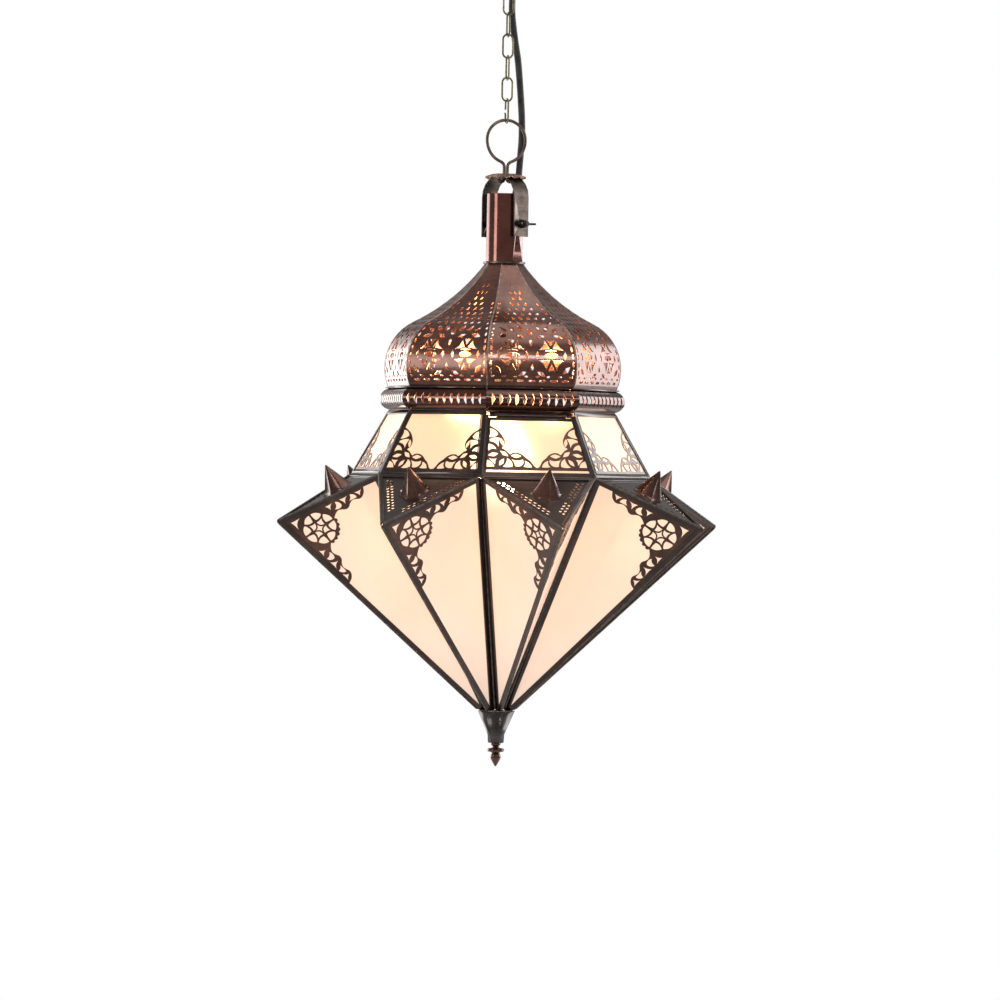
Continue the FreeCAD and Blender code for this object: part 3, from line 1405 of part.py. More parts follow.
# The flex's hidden run: from the rosette's hole down the neck to the cord grip.
TAIL_SHARES = [-0.0017, 0.0415, 0.1875, 1]
leaning = (flex_exit_at[0] * 0.95 + flex_neck[0] * 0.05, flex_exit_at[1] * 0.95 + flex_neck[1] * 0.05)
tail_route = along_way([flex_exit_at, leaning, flex_neck, (0, 0)], TAIL_SHARES, rosette_top_level, grip_top)
solid_feature("flex_tail", cord_tube(tail_route, size("flex_radius")))

grommet_level = -size("canopy_height")
grommet_hole = size("flex_radius") + size("flex_hole_play") / 2
grommet_waist = size("flex_radius") + size("flex_hole_play") - size("pin_play")
solid_feature("flex_grommet", turned_hollow([
    (grommet_hole, grommet_level - canopy_wall),
    (size("flex_radius") + 2 * canopy_wall, grommet_level - canopy_wall),
    (size("flex_radius") + 2 * canopy_wall, grommet_level), (grommet_waist, grommet_level),
    (grommet_waist, grommet_level + canopy_wall * 1.5), (grommet_hole, grommet_level + canopy_wall * 1.5),
], hole_facets, Vector(size("canopy_hole_x"), size("canopy_hole_y"), 0)))

doc.recompute()
for thing in doc.Objects:
    if "Invalid" in thing.State or "Error" in thing.State:
        raise RuntimeError(thing.Name + " did not recompute")
for thing in subparts:
    shape = thing.Shape
    if shape.isNull() or not shape.isValid() or shape.Volume <= 0:
        raise RuntimeError(thing.Label + " has no sound shape")
    shape.exportStep(os.path.join("parts", thing.Label + ".step"))
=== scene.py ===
import math

import bmesh
import bpy
from mathutils import Matrix, Vector
from mathutils.geometry import tessellate_polygon


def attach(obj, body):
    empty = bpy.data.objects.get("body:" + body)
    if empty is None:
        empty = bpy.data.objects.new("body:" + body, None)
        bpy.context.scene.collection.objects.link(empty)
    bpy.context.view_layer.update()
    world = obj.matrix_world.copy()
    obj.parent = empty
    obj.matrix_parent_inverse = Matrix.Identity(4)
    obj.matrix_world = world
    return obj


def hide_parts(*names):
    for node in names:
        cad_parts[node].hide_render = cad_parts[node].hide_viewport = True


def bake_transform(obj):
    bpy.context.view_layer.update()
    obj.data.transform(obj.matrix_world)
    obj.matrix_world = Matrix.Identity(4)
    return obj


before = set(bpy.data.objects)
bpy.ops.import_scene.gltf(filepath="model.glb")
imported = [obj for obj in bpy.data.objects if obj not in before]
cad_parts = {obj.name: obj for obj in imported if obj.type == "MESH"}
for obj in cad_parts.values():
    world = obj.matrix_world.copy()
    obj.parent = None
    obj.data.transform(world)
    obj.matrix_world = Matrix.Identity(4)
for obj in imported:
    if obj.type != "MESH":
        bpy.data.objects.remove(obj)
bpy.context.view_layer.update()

# Studio: a pale floor under the hanging lamp, and a plain white room that lights it softly from
# all round. The camera stands level with the lantern's dome, almost four metres in front of it.
world = bpy.data.worlds.new("white_room")
bpy.context.scene.world = world
world.use_nodes = True
room = world.node_tree
room.nodes.clear()
room_out = room.nodes.new("ShaderNodeOutputWorld")
room_light = room.nodes.new("ShaderNodeBackground")
room_light.inputs["Color"].default_value = (1, 0.985, 0.96, 1)
room_light.inputs["Strength"].default_value = 0.3
room_seen = room.nodes.new("ShaderNodeBackground")
room_seen.inputs["Color"].default_value = (1, 1, 1, 1)
room_seen.inputs["Strength"].default_value = 1.0
room_mix = room.nodes.new("ShaderNodeMixShader")
rays = room.nodes.new("ShaderNodeLightPath")
seen_or_through = room.nodes.new("ShaderNodeMath")
seen_or_through.operation = "MAXIMUM"
room.links.new(rays.outputs["Is Camera Ray"], seen_or_through.inputs[0])
room.links.new(rays.outputs["Is Transmission Ray"], seen_or_through.inputs[1])
room.links.new(seen_or_through.outputs[0], room_mix.inputs["Fac"])
room.links.new(room_light.outputs[0], room_mix.inputs[1])
room.links.new(room_seen.outputs[0], room_mix.inputs[2])
room.links.new(room_mix.outputs[0], room_out.inputs["Surface"])

floor_level = -1.9
floor_corners = [(-3, -2.5), (3, -2.5), (3, 3), (-3, 3)]
floor_mesh = bpy.data.meshes.new("studio_floor")
floor_mesh.from_pydata([(x, y, floor_level) for x, y in floor_corners], [], [(0, 1, 2, 3)])
floor = bpy.data.objects.new("studio_floor", floor_mesh)
bpy.context.scene.collection.objects.link(floor)
floor_paint = bpy.data.materials.new("pale_floor")
floor_paint.use_nodes = True
floor_surface = floor_paint.node_tree.nodes["Principled BSDF"]
floor_surface.inputs["Base Color"].default_value = (0.8, 0.79, 0.77, 1)
floor_surface.inputs["Roughness"].default_value = 0.8
floor_mesh.materials.append(floor_paint)

lantern_middle = Vector((0, 0, -0.45))
for lamp_name, lamp_place, lamp_size, lamp_power, lamp_tint in (
        ("window_back", (-1.6, 2.6, -0.3), 2.2, 62, (1, 0.97, 0.95)),
        ("window_right", (3.0, 0.7, -0.2), 2.2, 74, (0.97, 0.98, 1)),
        ("window_left", (-3.0, -0.9, 0.1), 1.2, 24, (1, 0.97, 0.94)),
        ("strip_front", (0.9, -3.4, 0.9), 0.4, 14, (1, 0.95, 0.9)),
        ("ceiling_bounce", (0.3, -0.4, 1.7), 2.2, 26, (1, 0.98, 0.95))):
    lamp_data = bpy.data.lights.new(lamp_name, "AREA")
    lamp_data.size = lamp_size
    lamp_data.energy = lamp_power
    lamp_data.color = lamp_tint
    lamp = bpy.data.objects.new(lamp_name, lamp_data)
    lamp.location = lamp_place
    lamp.rotation_euler = (lantern_middle - Vector(lamp_place)).to_track_quat("-Z", "Y").to_euler()
    bpy.context.scene.collection.objects.link(lamp)

eye = Vector((-1.0153, -3.7033, -0.502))
eye_drop, eye_roll = math.radians(0.645), math.radians(1.0)
eye_way = Vector((0.2644, 0.9644, -math.tan(eye_drop))).normalized()
camera_data = bpy.data.cameras.new("eye_level")
camera_data.lens = 144
camera_data.sensor_width = 36
camera = bpy.data.objects.new("eye_level", camera_data)
bpy.context.scene.collection.objects.link(camera)
level_turn = eye_way.to_track_quat("-Z", "Y").to_matrix().to_4x4()
camera.matrix_world = Matrix.Translation(eye) @ level_turn @ Matrix.Rotation(eye_roll, 4, "Z")
bpy.context.scene.camera = camera
bpy.context.scene.view_settings.view_transform = "Standard"

# Flex: 6.5 mm round flex in a matt black sheath, through a grommet in the canopy, loosely beside
# the chain, through the rosette and down the neck. It is made in one length for each part of the chain it
# passes.
mm = 0.001


class Shade:
    """A socket of a material's nodes, on which sums and products are written as plain expressions."""

    def __init__(self, tree, socket):
        self.tree, self.socket = tree, socket

    def node(self, kind, settings=None, inputs=None, output=0):
        """Another node of the same material: its settings first, then the values or links of its sockets."""
        made = self.tree.nodes.new(kind)
        for name, value in (settings or {}).items():
            if name == "stops":
                elements = made.color_ramp.elements
                while len(elements) < len(value):
                    elements.new(1)
                for element, (position, colour) in zip(elements, value):
                    element.position = position
                    element.color = (*colour, 1)
            else:
                setattr(made, name, value)
        for name, value in (inputs or {}).items():
            if isinstance(value, Shade):
                self.tree.links.new(value.socket, made.inputs[name])
            else:
                made.inputs[name].default_value = value
        return Shade(self.tree, made.outputs[output])

    def maths(self, operation, first, second):
        """A sum or product of two sockets or values."""
        return self.node("ShaderNodeMath", {"operation": operation}, {0: first, 1: second})

    def __add__(self, other):
        return self.maths("ADD", self, other)

    def __radd__(self, other):
        return self.maths("ADD", other, self)

    def __sub__(self, other):
        return self.maths("SUBTRACT", self, other)

    def __rsub__(self, other):
        return self.maths("SUBTRACT", other, self)

    def __mul__(self, other):
        return self.maths("MULTIPLY", self, other)

    def __rmul__(self, other):
        return self.maths("MULTIPLY", other, self)

    def noise(self, scale, detail=3, roughness=0.55):
        """Cloudy unevenness over this place, from 0 to 1."""
        return self.node("ShaderNodeTexNoise", None, {
            "Vector": self, "Scale": scale, "Detail": detail, "Roughness": roughness})

    def ramp(self, *stops):
        """A colour that follows this value through stops, each a position and a colour."""
        return self.node("ShaderNodeValToRGB", {"stops": stops}, {"Fac": self})


def new_finish(name, **constants):
    """A material with its constants set, the place on the object, and a function that joins what varies."""
    paint = bpy.data.materials.new(name)
    paint.use_nodes = True
    tree = paint.node_tree
    surface = tree.nodes["Principled BSDF"]
    for key, value in constants.items():
        surface.inputs[key.replace("_", " ")].default_value = value
    place = Shade(tree, tree.nodes.new("ShaderNodeTexCoord").outputs["Object"])

    def join(bump=None, depth=0.0002, **varying):
        for key, value in varying.items():
            tree.links.new(value.socket, surface.inputs[key.replace("_", " ")])
        if bump is not None:
            tree.links.new(place.node("ShaderNodeBump", None, {
                "Strength": 1.0, "Distance": depth, "Height": bump}).socket, surface.inputs["Normal"])

    return paint, place, join


black_sheath, place, join = new_finish("black_sheath", Specular_IOR_Level=0.35)
streaks = place.noise(160, 4)
scuffs = place.noise(900, 2)
join(bump=scuffs, depth=0.00008,
     Base_Color=streaks.ramp((0.35, (0.028, 0.027, 0.027)), (0.7, (0.052, 0.049, 0.047))),
     Roughness=scuffs * 0.25 + 0.45)

flex_thickness = 6.5


def plain_mesh(source, name):
    """A plain mesh object from what another object comes to; the other is taken away."""
    bpy.context.view_layer.update()
    found = source.evaluated_get(bpy.context.evaluated_depsgraph_get())
    made = bpy.data.objects.new(name, bpy.data.meshes.new_from_object(found))
    made.data.name = name
    bpy.data.objects.remove(source)
    bpy.context.scene.collection.objects.link(made)
    return made


def flex_run(name, points, node):
    """One length of the flex over its points, in mm, from one level to another."""
    def line(depth):
        curve = bpy.data.curves.new(name + "_line", "CURVE")
        curve.dimensions = "3D"
        curve.resolution_u = 12
        curve.bevel_depth = depth
        curve.bevel_resolution = 5
        curve.use_fill_caps = depth > 0
        spline = curve.splines.new("NURBS")
        spline.points.add(len(points) - 1)
        for control, point in zip(spline.points, points):
            control.co = (*(value * mm for value in point), 1)
        spline.order_u = 3
        spline.use_endpoint_u = True
        run = bpy.data.objects.new(name + "_line", curve)
        bpy.context.scene.collection.objects.link(run)
        return run

    centre = plain_mesh(line(0), name + "_centre")
    bpy.data.objects.remove(centre)
    tube = plain_mesh(line(flex_thickness / 2 * mm), name)
    tube.data.materials.clear()
    tube.data.materials.append(black_sheath)
    tube.data.shade_smooth()
    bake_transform(tube)
    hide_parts(node)
    return tube


flex_run("flex_at_canopy", [(8.6, 7, -22.5), (8.6, 7, -44), (5.2, 9.4, -66), (6.35, 8.9, -81)],
         "flex_cable")
flex_run("flex_upper", [(6.14, 8.99, -79.5), (8, 8.2, -98), (12.4, 7.4, -122.4)],
         "flex_cable")
flex_run("flex_middle", [(12.0, 7.45, -120.6), (13.4, 7.2, -130), (16.1, 7.08, -163.6)],
         "flex_cable")
flex_run("flex_lower", [(15.9, 7.08, -161.6), (18.1, 7, -188), (16.8, 6.16, -203.8)],
         "flex_cable")
flex_run("flex_at_rosette", [(16.9, 6.2, -202.6), (14.4, 4.6, -230), (14.1, 4.7, -239), (12.4, 5.1, -246.2)],
         "flex_cable")
flex_run("flex_in_neck", [(12.5, 5.1, -245.6), (8.4, 6, -262), (0.2, 0.1, -389.8)],
         "flex_tail")

# Ceiling fitting: a steel bracket on two screws, the hook through it, and a spun cup that a nut
# pulls up over the joints. The cup is brown like the lantern. All of it is above the photograph.


def copper_finish(name, dark, middle, light, gloss, grain=1.0):
    """Brown patina over copper sheet: cloudy, with darker pores, rubbed lighter in patches."""
    paint, place, join = new_finish(name, Metallic=0.7, Coat_Weight=0.55, Coat_Roughness=0.12)
    clouds = place.noise(26, 5, 0.6)
    pores = place.noise(310, 3, 0.6)
    brushed = place.node("ShaderNodeMapping", None, {"Vector": place, "Scale": (60, 60, 900)}).noise(1, 2)
    tone = clouds * 0.7 + pores * 0.2 + brushed * 0.1
    join(bump=pores * 0.6 + brushed * 0.4, depth=0.00012 * grain,
         Base_Color=tone.ramp((0.3, dark), (0.5, middle), (0.72, light)),
         Roughness=pores * (0.3 * grain) + gloss)
    return paint


brown_copper = copper_finish(
    "brown_copper", (0.05, 0.016, 0.011), (0.13, 0.046, 0.030), (0.26, 0.12, 0.08), 0.2, 0.7)
dark_patina = copper_finish(
    "dark_patina", (0.014, 0.009, 0.008), (0.034, 0.020, 0.017), (0.10, 0.062, 0.050), 0.22)


def steel_finish(name, dark, light, gloss):
    """Dulled steel with fine brushing and a few stains."""
    paint, place, join = new_finish(name, Metallic=0.85)
    brushed = place.node("ShaderNodeMapping", None, {"Vector": place, "Scale": (40, 40, 1500)}).noise(1, 3)
    stains = place.noise(90, 4)
    join(bump=brushed, depth=0.00006,
         Base_Color=(stains * 0.6 + brushed * 0.4).ramp((0.35, dark), (0.68, light)),
         Roughness=brushed * 0.25 + gloss)
    return paint


dull_steel = steel_finish("dull_steel", (0.16, 0.12, 0.10), (0.42, 0.36, 0.31), 0.3)


def placed(name, mesh, paint, body, nodes, crease=35):
    """A finished piece: smoothed up to its creases, given its finish, and set on its body."""
    if isinstance(mesh, bmesh.types.BMesh):
        built = bpy.data.meshes.new(name)
        mesh.to_mesh(built)
        mesh.free()
        mesh = built
    mesh.materials.clear()
    mesh.materials.append(paint)
    mesh.shade_smooth()
    mesh.set_sharp_from_angle(angle=math.radians(crease))
    made = bpy.data.objects.new(name, mesh)
    bpy.context.scene.collection.objects.link(made)
    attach(made, body)
    if nodes:
        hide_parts(*nodes)
    return made


def painted(paint, *node_names):
    """Gives its finish to each solid of the frame that is shown as it is."""
    for node_name in node_names:
        for slot_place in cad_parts[node_name].material_slots:
            slot_place.material = paint


def bridged(shape, rounds, closed=False):
    """Faces from each round of corners to the next; in a closed shape the last round meets the first."""
    for lower, upper in zip(rounds, rounds[1:] + (rounds[:1] if closed else [])):
        for i in range(len(lower)):
            k = (i + 1) % len(lower)
            corners = []
            for vertex in (lower[i], lower[k], upper[k], upper[i]):
                if vertex not in corners:
                    corners.append(vertex)
            if len(corners) > 2:
                shape.faces.new(corners)


def turned(profile, steps, ring=False):
    """A turned shape over radius and height pairs in mm; a ring's section closes on itself."""
    shape = bmesh.new()
    turns = [2 * math.pi * i / steps for i in range(steps)]
    rounds = []
    for radius, height in profile:
        if radius == 0:
            rounds.append([shape.verts.new((0, 0, height * mm))] * steps)
        else:
            rounds.append([
                shape.verts.new((radius * math.cos(turn) * mm, radius * math.sin(turn) * mm, height * mm))
                for turn in turns])
    bridged(shape, rounds, ring)
    if not ring:
        for end in (rounds[0], rounds[-1]):
            if end[0] is not end[1]:
                shape.faces.new(end)
    bmesh.ops.recalc_face_normals(shape, faces=shape.faces)
    return shape


placed("canopy_cup", turned([
    (2.7, -26.9), (14.9, -26.9), (19.5, -25.6), (27, -22), (34, -18), (40, -14.4), (44, -11.2), (46.9, -8.4),
    (48, -6.6), (48, 0), (50, 0), (50, -1.2), (49.2, -2), (49.4, -7), (48, -9.4), (45, -12.4), (41, -15.9),
    (35, -19.6), (28, -23.6), (20, -27.3), (15.6, -28), (2.7, -28)], 72, ring=True),
    brown_copper, "ceiling_fixing", ["ceiling_canopy"])
painted(brown_copper, "canopy_nut", "ceiling_hook")
painted(dull_steel, "ceiling_bracket")
black_moulding, place, join = new_finish("black_moulding")
moulded = place.noise(700, 2)
join(bump=moulded, depth=0.00005, Roughness=moulded * 0.2 + 0.35,
     Base_Color=place.noise(60, 3).ramp((0.3, (0.02, 0.02, 0.02)), (0.7, (0.04, 0.038, 0.036))))
painted(black_moulding, "flex_grommet")

# Chain: five closed links of bent wire in olive-brown brass, and an open link that hooks the ring.
# The ring below is one thicker wire: a circle whose ends run side by side through the rosette.
worn_brass, place, join = new_finish("worn_brass", Metallic=0.75)
rubbed = place.noise(120, 4)
pitted = place.noise(1200, 2)
join(bump=pitted, depth=0.00006,
     Base_Color=(rubbed * 0.75 + pitted * 0.25).ramp(
         (0.3, (0.085, 0.075, 0.042)), (0.52, (0.20, 0.18, 0.105)), (0.75, (0.42, 0.39, 0.27))),
     Roughness=pitted * 0.3 + 0.24)
brown_wire, place, join = new_finish("brown_wire", Metallic=0.7)
rubbed = place.noise(90, 4)
pitted = place.noise(1000, 2)
join(bump=pitted, depth=0.00006,
     Base_Color=(rubbed * 0.75 + pitted * 0.25).ramp(
         (0.3, (0.06, 0.036, 0.027)), (0.52, (0.155, 0.105, 0.082)), (0.75, (0.36, 0.29, 0.25))),
     Roughness=pitted * 0.3 + 0.26)


def node_tree(name, sizes, build):
    """A Geometry Nodes tree with named sizes, whose last steps make instances real and set the finish."""
    tree = bpy.data.node_groups.new(name, "GeometryNodeTree")
    tree.interface.new_socket(name="Geometry", in_out="INPUT", socket_type="NodeSocketGeometry")
    for size_name, kind in sizes.items():
        tree.interface.new_socket(name=size_name, in_out="INPUT", socket_type=kind)
    tree.interface.new_socket(name="Finish", in_out="INPUT", socket_type="NodeSocketMaterial")
    tree.interface.new_socket(name="Geometry", in_out="OUTPUT", socket_type="NodeSocketGeometry")
    given = tree.nodes.new("NodeGroupInput").outputs

    def add(kind, links, **settings):
        """One more node of the tree; its first output is what comes back."""
        made = tree.nodes.new(kind)
        for key, value in settings.items():
            setattr(made, key, value)
        for key, value in links.items():
            if isinstance(value, bpy.types.NodeSocket):
                tree.links.new(value, made.inputs[key])
            else:
                made.inputs[key].default_value = value
        return made.outputs[0]

    shape = build(given, add)
    real = add("GeometryNodeRealizeInstances", {"Geometry": shape})
    coated = add("GeometryNodeSetMaterial", {"Geometry": real, "Material": given["Finish"]})
    tree.links.new(coated, tree.nodes.new("NodeGroupOutput").inputs[0])
    return tree


def built_by(tree, source, name, **values):
    """What a tree makes of an object, as a plain mesh."""
    modifier = source.modifiers.new("build", "NODES")
    modifier.node_group = tree
    for item in tree.interface.items_tree:
        if item.item_type == "SOCKET" and item.in_out == "INPUT" and item.name in values:
            modifier[item.identifier] = values[item.name]
    return plain_mesh(source, name)


def lines_of(paths):
    """A curve object with a straight-run line over each list of points in mm; True closes a line."""
    curve = bpy.data.curves.new("lines", "CURVE")
    curve.dimensions = "3D"
    for points, closed in paths:
        spline = curve.splines.new("POLY")
        spline.points.add(len(points) - 1)
        for control, point in zip(spline.points, points):
            control.co = (*(value * mm for value in point), 1)
        spline.use_cyclic_u = closed
    made = bpy.data.objects.new("lines", curve)
    bpy.context.scene.collection.objects.link(made)
    return made


def round_wire(given, add):
    """A round section carried along every line."""
    section = add("GeometryNodeCurvePrimitiveCircle", {
        "Resolution": given["Sides"], "Radius": given["Radius"]})
    return add("GeometryNodeCurveToMesh", {
        "Curve": given["Geometry"], "Profile Curve": section, "Fill Caps": True})


wire_tree = node_tree("bent_wire", {"Radius": "NodeSocketFloat", "Sides": "NodeSocketInt"}, round_wire)


def wire_piece(name, paths, radius, sides, paint, body, nodes):
    """A piece of round wire, or several in one, over the given lines."""
    built = built_by(
        wire_tree, lines_of(paths), name + "_wire", Radius=radius * mm, Sides=sides, Finish=paint)
    mesh = built.data
    bpy.data.objects.remove(built)
    return placed(name, mesh, paint, body, nodes, 60)


link_wire, link_length, link_width = 1.9, 24.6, 11.8
link_pitch = 20.7
first_link_foot = -79.95
hook_gap = 3.2


def link_line(foot, across_y, gap=0.0):
    """A link's centre line: two straight sides and two round ends; a gap opens one side for the hook."""
    half = (link_width - link_wire) / 2
    head = foot + link_length - link_wire
    points = []
    for i in range(13):
        angle = math.pi * i / 12
        points.append((half * math.cos(angle), head - half + half * math.sin(angle)))
    for i in range(13):
        angle = math.pi + math.pi * i / 12
        points.append((half * math.cos(angle), foot + half + half * math.sin(angle)))
    if gap:
        middle = (foot + head) / 2
        points = [(half, middle + gap / 2)] + points + [
            (half, middle - gap), (half + gap * 0.45, middle - gap / 2)]
    return [(0, x, z) if across_y else (x, 0, z) for x, z in points]


link_bodies = ("first_link", "second_link", "third_link", "fourth_link", "fifth_link")
for number, body_name in enumerate(link_bodies):
    link = link_line(first_link_foot - link_pitch * number, number % 2 == 1)
    wire_piece(f"link_{number + 1}", [(link, True)], link_wire / 2, 12,
               worn_brass, body_name, [f"chain_link_{number + 1}"])
link = link_line(first_link_foot - link_pitch * len(link_bodies), True, hook_gap)
wire_piece("opened_link", [(link, False)], link_wire / 2, 12,
           worn_brass, "sprung_link", ["open_link"])

# The ring is round above its middle and a little longer below it, where it closes on its two ends
ring_wire, ring_radius, ring_drop = 3.0, 19, 21.5
ring_level = -199.9
ring_start, ring_sweep = -68, 316
ring_line = []
for i in range(61):
    angle = math.radians(ring_start + ring_sweep * i / 60)
    tall = ring_radius if 0 < angle < math.pi else ring_drop
    ring_line.append((ring_radius * math.cos(angle), 0, ring_level + tall * math.sin(angle)))
curl_radius, curl_out, curl_level = 2.4, 4.0, -237.6


def ring_foot(side):
    """The wire from the ring's foot: in towards the other end, down beside it, and curled outward."""
    points = [(side * out, 0, level) for out, level in (
        (4.2, -221.2), (2.5, -222.7), (1.75, -224.6), (1.6, -226.8))]
    for i in range(12):
        angle = math.radians(180 + 190 * i / 11)
        points.append((
            side * (curl_out + curl_radius * math.cos(angle)), 0, curl_level + curl_radius * math.sin(angle)))
    return points


whole_ring = ring_foot(1)[::-1] + ring_line + ring_foot(-1)
wire_piece("hanging_loop", [(whole_ring, False)], ring_wire / 2, 16,
           brown_wire, "hanger", ["hanging_ring"])

# Rosette and bail: a stamped washer with drooping petals hides where the ring's ends pass through a
# bent strip; a bolt with a wing nut holds the lantern's eight-sided neck between the strip's legs.
petals, petal_depth, petal_wave = 12, 1.9, 0.55
rosette_hole, rosette_radius, rosette_sheet = 3.5, 18.6, 0.9
rosette_level, rosette_droop = -232.5, 7.6
rosette_turns = [2 * math.pi * i / 144 for i in range(144)]
stamped = bmesh.new()
rosette_skins = []
for depth in (0, rosette_sheet):
    rosette_skins.append([])
    for step in range(13):
        share = step / 12
        ring = []
        for angle in rosette_turns:
            petal = math.cos(petals * angle)
            out = rosette_hole + (rosette_radius + petal_depth * petal - rosette_hole) * share
            level = rosette_level - rosette_droop * max(share - 0.42, 0) ** 1.4 - depth
            level += petal_wave * petal * share ** 3
            ring.append(stamped.verts.new((
                out * math.cos(angle) * mm, out * math.sin(angle) * mm, level * mm)))
        rosette_skins[-1].append(ring)
bridged(stamped, rosette_skins[0] + rosette_skins[1][::-1], closed=True)
bmesh.ops.recalc_face_normals(stamped, faces=stamped.faces)
placed("stamped_rosette", stamped, copper_finish(
    "rosette_copper", (0.16, 0.08, 0.06), (0.34, 0.19, 0.145), (0.55, 0.36, 0.29), 0.26),
    "bail", ["rosette"], 40)


def softened(node_name, width=0.3):
    """A copy of a frame node with its hard edges taken off."""
    shape = bmesh.new()
    shape.from_mesh(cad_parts[node_name].data)
    bmesh.ops.transform(shape, matrix=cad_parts[node_name].matrix_world, verts=shape.verts)
    bmesh.ops.remove_doubles(shape, verts=shape.verts, dist=0.00001)
    bmesh.ops.dissolve_limit(shape, angle_limit=math.radians(0.5), verts=shape.verts, edges=shape.edges)
    hard = [e for e in shape.edges if len(e.link_faces) == 2 and e.calc_face_angle() > math.radians(25)]
    bmesh.ops.bevel(shape, geom=hard, offset=width * mm, segments=2, affect="EDGES", clamp_overlap=True)
    return shape


def eased(name, node_name, paint, body, width=0.3):
    """A solid of the frame with its hard edges taken off by a width in mm, in its finish."""
    return placed(name, softened(node_name, width), paint, body, [node_name], 40)


brushed_brown = steel_finish("brushed_brown", (0.055, 0.038, 0.030), (0.20, 0.155, 0.13), 0.24)
dark_iron = steel_finish("dark_iron", (0.02, 0.016, 0.014), (0.07, 0.055, 0.047), 0.3)
eased("bent_strap", "bail_strap", brushed_brown, "bail", 0.35)
eased("strap_bolt", "bail_bolt", dark_iron, "bail", 0.2)

bolt_level, bolt_turn = -280.87, math.radians(32)
bolt_way = Vector((math.sin(bolt_turn), -math.cos(bolt_turn), 0))
wing_way = Vector((math.cos(bolt_turn), math.sin(bolt_turn), 0))
wing_thickness = 1.8
nut_shape = bmesh.new()


def on_bolt(reach, across, up):
    """A new corner of the nut, in mm: out along the bolt, across it along the wings, and up."""
    return nut_shape.verts.new((bolt_way * reach + wing_way * across + Vector((0, 0, bolt_level + up))) * mm)


def prism(shape, near, far):
    """Two outlines of corners, one behind the other, with a wall between them."""
    shape.faces.new(near)
    shape.faces.new(far[::-1])
    bridged(shape, [near, far])


hub_turns = [2 * math.pi * i / 24 for i in range(24)]
hub_rings = []
for radius, reach in ((2.2, 21.6), (4.2, 21.6), (4.2, 22.6), (3.4, 27.2), (2.8, 27.6), (2.2, 27.6)):
    hub_rings.append([on_bolt(reach, radius * math.cos(turn), radius * math.sin(turn)) for turn in hub_turns])
bridged(nut_shape, hub_rings, closed=True)
wing_outline = [
    (3.2, 21.9), (5.6, 22.4), (8.4, 24.6), (10.3, 27.6), (10.9, 30.0), (10.2, 31.2), (8.6, 31.0), (6.6, 29.2),
    (4.6, 27.6), (3.0, 26.8)]
for side in (-1, 1):
    prism(nut_shape, *(
        [on_bolt(reach, side * across, depth) for across, reach in wing_outline]
        for depth in (-wing_thickness / 2, wing_thickness / 2)))
bmesh.ops.recalc_face_normals(nut_shape, faces=nut_shape.faces)
placed("winged_nut", nut_shape, dark_iron, "wing_nut_body", ["wing_nut"], 40)

# Neck: an eight-sided tube of lacquered copper sheet, folded to a seam on one corner, soldered on a
# thin flange that closes the top of the dome.
lacquered_copper = copper_finish(
    "lacquered_copper", (0.07, 0.014, 0.010), (0.13, 0.033, 0.022), (0.22, 0.08, 0.055), 0.07, 0.3)
eased("neck_sheet", "neck_tube", lacquered_copper, "lantern", 0.8)
eased("neck_foot", "neck_flange", brushed_brown, "lantern", 0.25)

# Dome: eight copper sheets, each bent one way only, pierced with a lace of drops, leaves and
# rosettes, and soldered along light seams. They stand on an eight-sided ring over the bead band.
half_side = math.pi / 8
dome_foot_level = -438.47
belly_out, belly_up, belly_radius = 66, 19.1, 48.3
belly_start, belly_end = math.radians(-23.3), math.radians(64)
dome_top_out, dome_top_up = 18.3, 119.6
dome_sheet_thickness = 0.9


def dome_section():
    """The dome's face at the middle of a side, in mm out and up: a round belly, then a hollow sweep."""
    flat = math.cos(half_side)
    points = []
    for i in range(25):
        angle = belly_start + (belly_end - belly_start) * i / 24
        points.append((
            (belly_out + belly_radius * math.cos(angle)) * flat, belly_up + belly_radius * math.sin(angle)))
    outward = (math.cos(belly_end), math.sin(belly_end))
    joint = (belly_out + belly_radius * outward[0], belly_up + belly_radius * outward[1])
    chord = (joint[0] - dome_top_out, joint[1] - dome_top_up)
    hollow = -(chord[0] ** 2 + chord[1] ** 2) / (2 * (chord[0] * outward[0] + chord[1] * outward[1]))
    centre = (joint[0] + outward[0] * hollow, joint[1] + outward[1] * hollow)
    start = math.atan2(joint[1] - centre[1], joint[0] - centre[0]) % (2 * math.pi)
    end = math.atan2(dome_top_up - centre[1], dome_top_out - centre[0]) % (2 * math.pi)
    for i in range(1, 25):
        angle = start + (end - start) * i / 24
        points.append(((centre[0] + hollow * math.cos(angle)) * flat, centre[1] + hollow * math.sin(angle)))
    return points


def along(section):
    """How far along a bent section each of its points lies."""
    reach = [0.0]
    for (ax, ay), (bx, by) in zip(section, section[1:]):
        reach.append(reach[-1] + math.hypot(bx - ax, by - ay))
    return reach


def stretch_at(section, up):
    """The two points of a bent section between which a height along it falls, and the share passed."""
    reach = along(section)
    i = max(k for k in range(len(reach) - 1) if reach[k] <= up or k == 0)
    return section[i], section[i + 1], (up - reach[i]) / (reach[i + 1] - reach[i])


def half_width(section, up):
    """Half the width of one side's flat sheet, in mm, at a height along its section."""
    (ax, _), (bx, _), share = stretch_at(section, up)
    return (ax + (bx - ax) * share) * math.tan(half_side)


def sheet_edge(section, levels, seam=0.12, hair=0.001):
    """The outline of one side's flat sheet, with half a seam left free along each corner."""
    head = along(section)[-1]
    left = [(seam - half_width(section, up), up) for up in [hair] + levels + [head - hair]]
    return left + [(-x, y) for x, y in reversed(left)]


